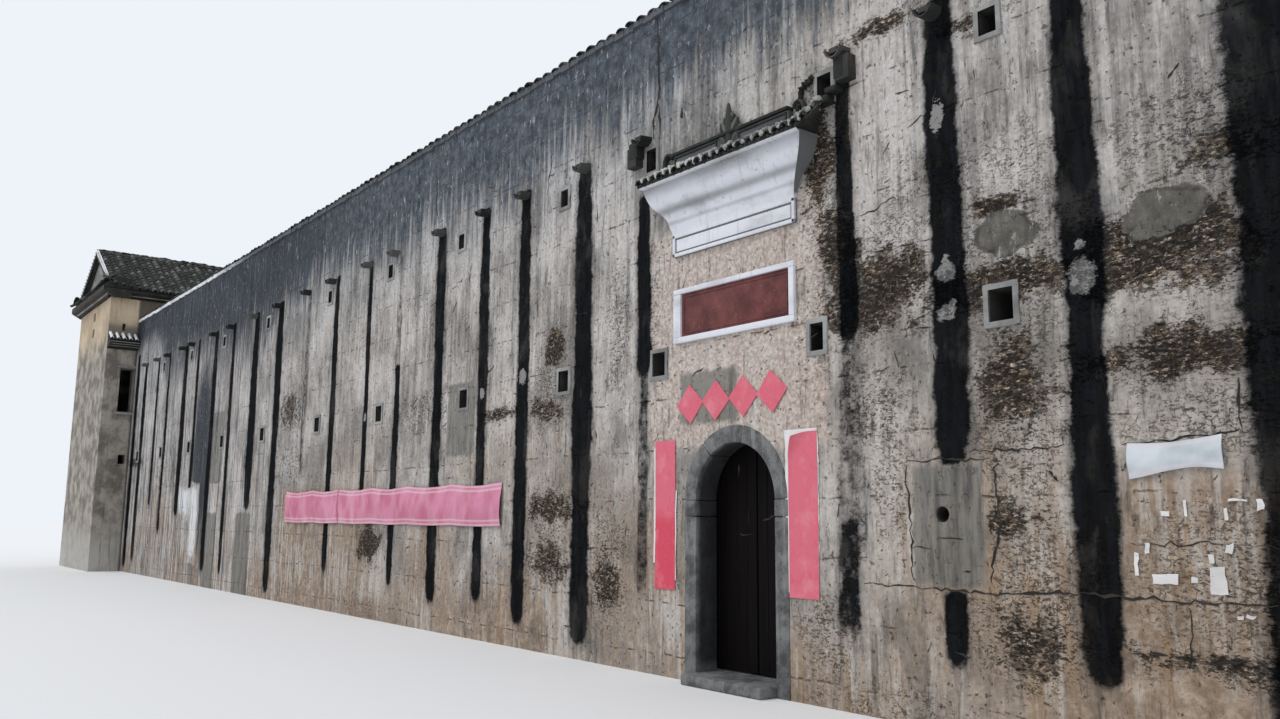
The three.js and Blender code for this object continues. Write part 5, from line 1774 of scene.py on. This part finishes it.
def coping(side):
    wall, half = WALLS[side], COPING_HALF[side]
    lot = np.random.default_rng(40)
    middle, across = PARAPET / 2, PARAPET / 2 + COPING_OUT
    bed_places = np.arange(-half + 0.10, half - 0.05, BED_SPACING)

    bpy.ops.mesh.primitive_cube_add(size=2)
    bed = bevelled(bpy.context.object, 0.16, 1)
    which, co = copies(bed, len(bed_places))
    size = lot.uniform(0.93, 1.04, len(bed_places))[which]
    low = (WALL_HEIGHT - lot.uniform(0.0, 0.028, len(bed_places)))[which]
    high = (BED_TOP + lot.uniform(-0.006, 0.012, len(bed_places)))[which]
    u = bed_places[which] + co[:, 0] * 0.098
    out = -middle + co[:, 1] * across * size
    z = np.where(co[:, 2] > 0, high + (co[:, 2] - 1) * 0.02, low + (co[:, 2] + 1) * 0.02)
    set_points(bed.data, from_wall(wall, u * HALF, out * HALF, z * HALF))
    sooty = step(u, -18.5, -15.5) if side == "front" else step(field(u, u * 0, 2.5, 27), 0.45, 0.65)
    set_values(bed, "shade_and_soot", 0.92 * sooty)
    bed = finish_piece(bed, side + "_coping_mortar", CAP_LIME)
    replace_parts(bed, side + "_coping")

    tile = thick(half_round(7, [0.0, 1.0]), 0.25)
    tile_places = np.arange(-half + 0.10, half - 0.05, CAP_SPACING)
    count = 2 * len(tile_places)
    which, co = copies(tile, count)
    facing = np.where(which < len(tile_places), 1, -1)
    radius = CAP_RADIUS * lot.uniform(0.9, 1.1, count)[which]
    slide = lot.uniform(-0.02, 0.012, count)[which]
    u = tile_places[which % len(tile_places)] + facing * co[:, 0] * radius
    out = -middle + facing * (0.02 + co[:, 1] * (across + 0.01 + slide))
    z = CAP_TOP - 0.060 * co[:, 1] + co[:, 2] * radius * 0.62
    set_points(tile.data, from_wall(wall, u * HALF, out * HALF, z * HALF))
    set_values(tile, "tone", lot.uniform(0, 0.6, count)[which])
    face_outwards(tile)
    finish_piece(tile, side + "_coping_tiles", TILE)


for side in WALLS:
    coping(side)


# %% [markdown]
# Roof tiles are laid in rows from ridge to eave. The frame's slopes are the bed. On them lie rows of
# half-round cover tiles, each tucked under the one above it, so a row steps down the slope. One tile is
# modelled, and a row is given by where it starts, which way it falls and how long it is.

# %% Rows of roof tiles
COURSE, TILE_RADIUS, ROW_SPACING = 0.235, 0.070, 0.215


def tile_rows(name, rows, to_model, seed):
    """rows: across, start and end of each. to_model turns (across, down the slope, off it) into points."""
    tile = half_round(6, [0.0, 1.0, 2.0])
    places = [(across, start) for across, first, last in rows
              for start in np.arange(first, last - 0.05, COURSE)]
    across0, start0 = np.array(places).T
    which, co = copies(tile, len(places))
    lot = np.random.default_rng(seed)
    lip = co[:, 1] > 1.5  # the last line of points folds down as the tile's thickness
    along = np.minimum(co[:, 1], 1.0)
    size = TILE_RADIUS * lot.uniform(0.92, 1.06, len(places))[which] * (0.90 + 0.14 * along)
    size = np.where(lip, size * 0.74, size)
    across = across0[which] + co[:, 0] * size + lot.uniform(-0.007, 0.007, len(places))[which]
    down = start0[which] + along * COURSE * 1.06
    off = co[:, 2] * size + 0.016 * along + lot.uniform(-0.004, 0.006, len(places))[which]
    set_points(tile.data, to_model(across, down, off))
    set_values(tile, "tone", np.clip(lot.normal(0.36, 0.36, len(places)), 0, 1)[which])
    return finish_piece(tile, name, TILE)


# %% [markdown]
# The range roofs have a short slope that drains into the gutter behind the parapet, and a longer one that
# falls to the court and reaches over the inner wall. Near a corner the eaves of two ranges meet, so the
# last rows there are shorter.

# %% Range roofs
ROOF_SLOPE = 0.55
SLOPE_LONG = math.hypot(1, ROOF_SLOPE)
OUTER_FOOT, ROOF_RIDGE, COURT_FACE, COURT_EAVE = 0.750, 2.525, 4.450, 4.950
RIDGE_LEVEL = 5.9506 + (ROOF_RIDGE - OUTER_FOOT) * ROOF_SLOPE + 0.170
GUTTER_EDGE = 6.030
RIDGE_RADIUS, RIDGE_SPACING = 0.105, 0.26
OUTER_SLOPE = (RIDGE_LEVEL - GUTTER_EDGE) / (ROOF_RIDGE - OUTER_FOOT)


def slope_on(wall, direction, slope):
    """Points on a range's roof. direction is 1 for the slope that falls to the court."""
    def to_model(across, down, off):
        long = math.hypot(1, slope)
        run, lift = down / long, off / long
        depth = ROOF_RIDGE + direction * (run + lift * slope)
        z = RIDGE_LEVEL - run * slope + lift
        return from_wall(wall, across * HALF, -depth * HALF, z * HALF)

    return to_model


def range_roof(side):
    wall, half = WALLS[side], COPING_HALF[side]
    places = np.arange(-half + 0.12, half - 0.1, ROW_SPACING)
    outer = [(u, 0, (ROOF_RIDGE - OUTER_FOOT) * math.hypot(1, OUTER_SLOPE)) for u in places]
    eaves = [min(COURT_EAVE, COURT_FACE + half - abs(u) - 0.08) for u in places]
    inner = [(u, 0, (eave - ROOF_RIDGE) * SLOPE_LONG) for u, eave in zip(places, eaves)]
    tile_rows(side + "_outer_slope_tiles", outer, slope_on(wall, -1, OUTER_SLOPE), seed=61)
    tile_rows(side + "_court_slope_tiles", inner, slope_on(wall, 1, ROOF_SLOPE), seed=62)
    lot = np.random.default_rng(63)
    cap_places = np.arange(-half + 0.14, half - 0.1, RIDGE_SPACING)
    cap = thick(half_round(7, [0.0, 1.0], wide=0.3, along_x=True), 0.2)
    which, co = copies(cap, len(cap_places))
    radius = RIDGE_RADIUS * lot.uniform(0.94, 1.06, len(cap_places))[which] * (1 - 0.1 * co[:, 0])
    u = cap_places[which] + co[:, 0] * 0.28 - 0.14
    z = RIDGE_LEVEL + 0.045 + co[:, 2] * radius
    set_points(cap.data, from_wall(wall, u * HALF, (-ROOF_RIDGE + co[:, 1] * radius) * HALF, z * HALF))
    set_values(cap, "tone", lot.uniform(0.2, 0.9, len(cap_places))[which])
    face_outwards(cap)
    finish_piece(cap, side + "_ridge_tiles", TILE)


for side in WALLS:
    range_roof(side)


# %% [markdown]
# The four towers are alike, mirrored. Each roof has two slopes along the wall, a gable at each end, and a
# short skirt of tiles under the gable. White mortar seals its edges: a row of tile ends runs up each
# gable, and their pale and dark faces take turns.

# %% Towers: sizes and places
TOWER_MIDDLE, TOWER_HALF = (26.0 + 30.45) / 2, 2.225
TOWER_INNER, TOWER_FACE = 15.55, 20.85
TOWER_EAVE, TOWER_RIDGE_Z, TOWER_SLOPE = 0.26, 9.80, 0.60
TOWER_TIP = TOWER_HALF + TOWER_EAVE
TOWER_LONG = math.hypot(1, TOWER_SLOPE)
EAVE_DOWN = TOWER_TIP * TOWER_LONG  # from the ridge to the eave, along the slope
VERGE = (TOWER_INNER - 0.07, TOWER_FACE + 0.07)
VERGE_SIDES = tuple(zip(VERGE, (-1, 1)))  # each gable's edge, and the way it looks
GABLE_BASE, SKIRT_TOP = 8.56, TOWER_RIDGE_Z - TOWER_TIP * TOWER_SLOPE
SKIRT_IN, SKIRT_OUT, SKIRT_LONG = 0.06, TOWER_EAVE, 0.40
TOWERS = {f"{end}_{side}_tower": (sx, sy)
          for end, sy in (("front", -1), ("back", 1)) for side, sx in (("left", -1), ("right", 1))}


def mirrored(sx, sy, x, y, z):
    """Model points from real places on the back right tower, mirrored by sx and sy to any other."""
    return np.stack([sx * x, sy * y, z], -1) * HALF


def mirrored_bar(sx, sy, x, y, z, bevel, segments=1):
    """A block on a tower between two places on each axis, mirrored to the tower's corner."""
    (x0, x1), (y0, y1) = sorted((x[0] * sx, x[1] * sx)), sorted((y[0] * sy, y[1] * sy))
    return bar((x0, y0, z[0]), (x1, y1, z[1]), bevel, segments)


def bars_round(sx, sy, reach, width, z, bevel):
    """Four bars round a tower, whose outer faces stand out of its walls by reach."""
    x0, x1 = TOWER_MIDDLE - TOWER_HALF - reach, TOWER_MIDDLE + TOWER_HALF + reach
    y0, y1 = TOWER_INNER - reach, TOWER_FACE + reach
    spans = (((x0, x0 + width), (y0, y1)), ((x1 - width, x1), (y0, y1)),
             ((x0, x1), (y0, y0 + width)), ((x0, x1), (y1 - width, y1)))
    return [mirrored_bar(sx, sy, x, y, z, bevel) for x, y in spans]


def turned_up(along, down):
    """The tiles rise a little towards the eave's corners."""
    corner = np.clip(1 - np.minimum(along - VERGE[0], VERGE[1] - along) / 1.1, 0, 1)
    return 0.11 * corner ** 2 * np.clip(down / EAVE_DOWN, 0, 1) ** 3


# %% [markdown]
# Each slope and each skirt is a way from a place on the roof to a point of the model. The rows of tiles
# above work for all of them.

# %% Tower roofs: tiles
def tower_slope(sx, sy, direction):
    """Points on a slope of the roof. direction is 1 for the slope on the outer side."""
    def to_model(across, down, off):
        run, lift = down / TOWER_LONG, off / TOWER_LONG
        x = TOWER_MIDDLE + direction * (run + lift * TOWER_SLOPE)
        z = TOWER_RIDGE_Z - run * TOWER_SLOPE + lift + turned_up(across, down)
        return mirrored(sx, sy, x, across, z)

    return to_model


def tower_skirt(sx, sy, end, out):
    """Points on the skirt under a gable. out is the way that the gable looks."""
    rise = (GABLE_BASE - SKIRT_TOP) / (SKIRT_OUT + SKIRT_IN)

    def to_model(across, down, off):
        run = down / math.hypot(1, rise)
        y = end + out * (-SKIRT_IN + run + off * 0.4)
        corner = np.clip(np.abs(across - TOWER_MIDDLE) / TOWER_TIP, 0, 1) ** 6
        z = GABLE_BASE - run * rise + off * 0.9 + 0.10 * corner
        return mirrored(sx, sy, across, y, z)

    return to_model


def tower_tiles(name, sx, sy):
    """Rows of tiles on both slopes, two more beyond each gable's foot, and the rows on the skirts."""
    below_gable = (TOWER_RIDGE_Z - GABLE_BASE) / TOWER_SLOPE * TOWER_LONG
    rows = [(y, 0, EAVE_DOWN) for y in np.arange(VERGE[0] + 0.17, VERGE[1] - 0.1, ROW_SPACING)]
    rows += [(y + out * past, below_gable, EAVE_DOWN) for y, out in VERGE_SIDES for past in (0.02, 0.13)]
    skirt_places = np.arange(TOWER_MIDDLE - TOWER_TIP + 0.10, TOWER_MIDDLE + TOWER_TIP - 0.05, ROW_SPACING)
    skirt = [(x, 0, SKIRT_LONG) for x in skirt_places]
    parts = [(rows, tower_slope(sx, sy, -1)), (rows, tower_slope(sx, sy, 1)),
             (skirt, tower_skirt(sx, sy, TOWER_FACE, 1)), (skirt, tower_skirt(sx, sy, TOWER_INNER, -1))]
    pieces = [tile_rows(f"{name}_{seed}", laid, to_model, seed)
              for seed, (laid, to_model) in enumerate(parts, 71)]
    finish_piece(face_outwards(join(pieces)), name + "_tiles", TILE)


# %% [markdown]
# The gables close the roof's ends. White tile ends and a strip of mortar seal their edges, and dark boards
# run under them.

# %% Tower roofs: gables
def verge_ends(name, sx, sy):
    """Round tile ends up both edges of each gable, and a strip of mortar over one of them."""
    ends = []
    for y, out in VERGE_SIDES:
        for direction in (-1, 1):
            for down in np.arange(0.10, EAVE_DOWN, 0.165):
                run = down / TOWER_LONG
                z = TOWER_RIDGE_Z - run * TOWER_SLOPE + 0.02 + float(turned_up(np.array(y), np.array(down)))
                ends.append((direction, run, y + out * 0.040, z))
    bpy.ops.mesh.primitive_cylinder_add(vertices=10, radius=1, depth=1, rotation=(math.pi / 2, 0, 0))
    end_tile = bpy.context.object
    bpy.ops.object.transform_apply(location=False, rotation=True, scale=False)
    bevelled(end_tile, 0.16, 1)
    which, co = copies(end_tile, len(ends))
    direction, run, y0, z0 = np.array(ends).T[:, which]
    size = 0.036 * np.random.default_rng(81).uniform(0.88, 1.12, len(ends))[which]
    x = TOWER_MIDDLE + direction * run + co[:, 0] * size
    set_points(end_tile.data, mirrored(sx, sy, x, y0 + co[:, 1] * 0.06, z0 + co[:, 2] * size))
    pieces = [face_outwards(end_tile)]
    for y, out in VERGE_SIDES:
        def strip(s, t, y=y, out=out):
            run = s * (TOWER_RIDGE_Z - GABLE_BASE) / TOWER_SLOPE
            top = TOWER_RIDGE_Z - run * TOWER_SLOPE + 0.045 + 0.02 * np.sin(math.pi * t)
            top = top + 0.02 * (field(run, run * 0, 0.12, 23) - 0.5)
            return mirrored(sx, sy, TOWER_MIDDLE - run - 0.02, y + out * (0.012 - 0.032 * t), top)

        pieces.append(thick(sheet_grid(np.linspace(0, 1, 31), np.linspace(0, 1, 4), strip), 0.012))
    finish_piece(face_outwards(join(pieces)), name + "_verge_ends", CAP_LIME)


def gable_panels(name, sx, sy):
    """The plastered face of each gable."""
    panels = []
    for y, out in VERGE_SIDES:
        def gable(s, t, y=y, out=out):
            inside = y - out * (0.13 - 0.008)
            across = TOWER_MIDDLE + 1.78 * s * (1 - 0.97 * t)
            return mirrored(sx, sy, across, inside + 0 * s, GABLE_BASE + 0.005 + 1.06 * t)

        panels.append(thick(sheet_grid(np.linspace(-1, 1, 13), np.linspace(0, 1, 9), gable), 0.003))
    finish_piece(face_outwards(join(panels)), name + "_gable_panels", TRIM)


def verge_boards(name, sx, sy):
    """Dark boards under the tile ends, from ridge to eave."""
    boards = []
    for y, out in VERGE_SIDES:
        for direction in (-1, 1):
            def board(s, t, y=y, out=out, direction=direction):
                run = s * TOWER_TIP
                top = TOWER_RIDGE_Z - run * TOWER_SLOPE - 0.01 + turned_up(np.full_like(s, y), s * EAVE_DOWN)
                swell = out * (0.028 + 0.012 * np.sin(math.pi * t))
                return mirrored(sx, sy, TOWER_MIDDLE + direction * run, y + swell, top - 0.17 * t)

            boards.append(thick(sheet_grid(np.linspace(0, 1, 25), np.linspace(0, 1, 5), board), -0.008))
    whole = toned(face_outwards(join(boards)), 0.1)
    finish_piece(whole, name + "_verge_boards", TILE)


# %% [markdown]
# A row of lumps and a pale course make the ridge. Under the eaves, bars run round the tower in steps.

# %% Tower roofs: ridge and eaves
def tower_ridge(name, sx, sy):
    """A pale course along the ridge, with lumps on it."""
    lumps = [((TOWER_MIDDLE * sx, (y + 0.15) * sy, TOWER_RIDGE_Z + 0.055), (0.075, 0.17, 0.052))
             for y in np.arange(VERGE[0] + 0.02, VERGE[1] - 0.2, 0.30)]
    dabs(name + "_ridge", lumps, TILE_BED, 7)
    course = mirrored_bar(sx, sy, (TOWER_MIDDLE - 0.06, TOWER_MIDDLE + 0.06), (VERGE[0], VERGE[1] - 0.02),
                          (TOWER_RIDGE_Z - 0.03, TOWER_RIDGE_Z + 0.085), 0.02, 2)
    finish_piece(toned(course, 0.9), name + "_ridge_course", TILE, smooth=35)


EAVES_COURSES = ((0.07, 8.055), (0.14, 8.105), (0.21, 8.155))  # how far each stands out, and its top
COURSE_HEIGHT, COURSE_DEPTH = 0.05, 0.16


def tower_eaves(name, sx, sy):
    """A pale line under the tiles, and three stepped courses, of which the middle one is plastered."""
    line = bars_round(sx, sy, TOWER_EAVE + 0.004, 0.03, (8.222, 8.246), 0.004)
    finish_piece(join(line), name + "_eaves_line", BOARDS, smooth=35)
    low, middle, high = (bars_round(sx, sy, reach, COURSE_DEPTH, (top - COURSE_HEIGHT, top), 0.008)
                         for reach, top in EAVES_COURSES)
    finish_piece(join(low + high), name + "_eaves", RAFTER, smooth=35)
    finish_piece(join(middle), name + "_eaves_moulding", TRIM, smooth=35)


for name, (sx, sy) in TOWERS.items():
    for part in (tower_tiles, verge_ends, gable_panels, verge_boards, tower_ridge, tower_eaves):
        part(name, sx, sy)
    give_material(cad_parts[name + "_roof"], TILE_BED)


# %% [markdown]
# Over the tall window in each tower's flank hangs a small roof of its own: five rows of white-edged
# tiles on a dark stepped corbel. The window under it has a plain raised frame.

# %% Small roofs on the towers
FLANK = 26.0
SMALL_ROOF = (20.02, 20.85)  # where it begins and ends
CORBELS = ((0.10, 6.46, 6.52), (0.17, 6.52, 6.575), (0.25, 6.575, 6.63), (0.335, 6.63, 6.695))
CORBEL_LINES = ((0.176, 6.520, 6.534), (0.256, 6.575, 6.589), (0.341, 6.630, 6.644))
WINDOW_TRIM = ((20.02, 20.52, 5.915, 5.975, 0.05), (20.02, 20.50, 4.53, 4.60, 0.05),
               (20.445, 20.50, 4.60, 5.915, 0.015))  # from, to, low, high, how far it stands out


def flank_bar(sx, sy, reach, gap, y, z, bevel):
    """A bar on the tower's flank, between two distances from it."""
    return mirrored_bar(sx, sy, (FLANK - reach, FLANK - gap), y, z, bevel)


def tower_pent(name, sx, sy):
    """The small roof on its corbel, and the raised frame round the window under it."""
    roof_ends = (SMALL_ROOF[0], SMALL_ROOF[1] + 0.004)
    corbels = [flank_bar(sx, sy, reach, 0.001, roof_ends, z, 0.008) for reach, *z in CORBELS]
    finish_piece(join(corbels), name + "_pent_corbel", RAFTER, smooth=35)
    seams = [flank_bar(sx, sy, reach, 0.01, roof_ends, z, 0.002) for reach, *z in CORBEL_LINES]
    finish_piece(join(seams), name + "_pent_lines", TRIM, smooth=35)

    tile = thick(half_round(9, [0.0, 1.0], along_x=True), 0.25)
    spots = np.linspace(SMALL_ROOF[0] + 0.10, SMALL_ROOF[1] - 0.06, 5)
    which, co = copies(tile, len(spots))
    radius = 0.034 * np.random.default_rng(91).uniform(0.92, 1.08, len(spots))[which]
    x = FLANK - 0.02 - co[:, 0] * 0.345
    z = 6.915 - 0.200 * co[:, 0] + co[:, 2] * radius * 1.2
    set_points(tile.data, mirrored(sx, sy, x, spots[which] + co[:, 1] * radius, z))
    finish_piece(face_outwards(tile), name + "_pent_tiles", CAP_LIME)

    trim = [flank_bar(sx, sy, out, 0.001, (y0, y1), (z0, z1), 0.005) for y0, y1, z0, z1, out in WINDOW_TRIM]
    finish_piece(join(trim), name + "_window_trim", TRIM, smooth=35)


for name, (sx, sy) in TOWERS.items():
    tower_pent(name, sx, sy)
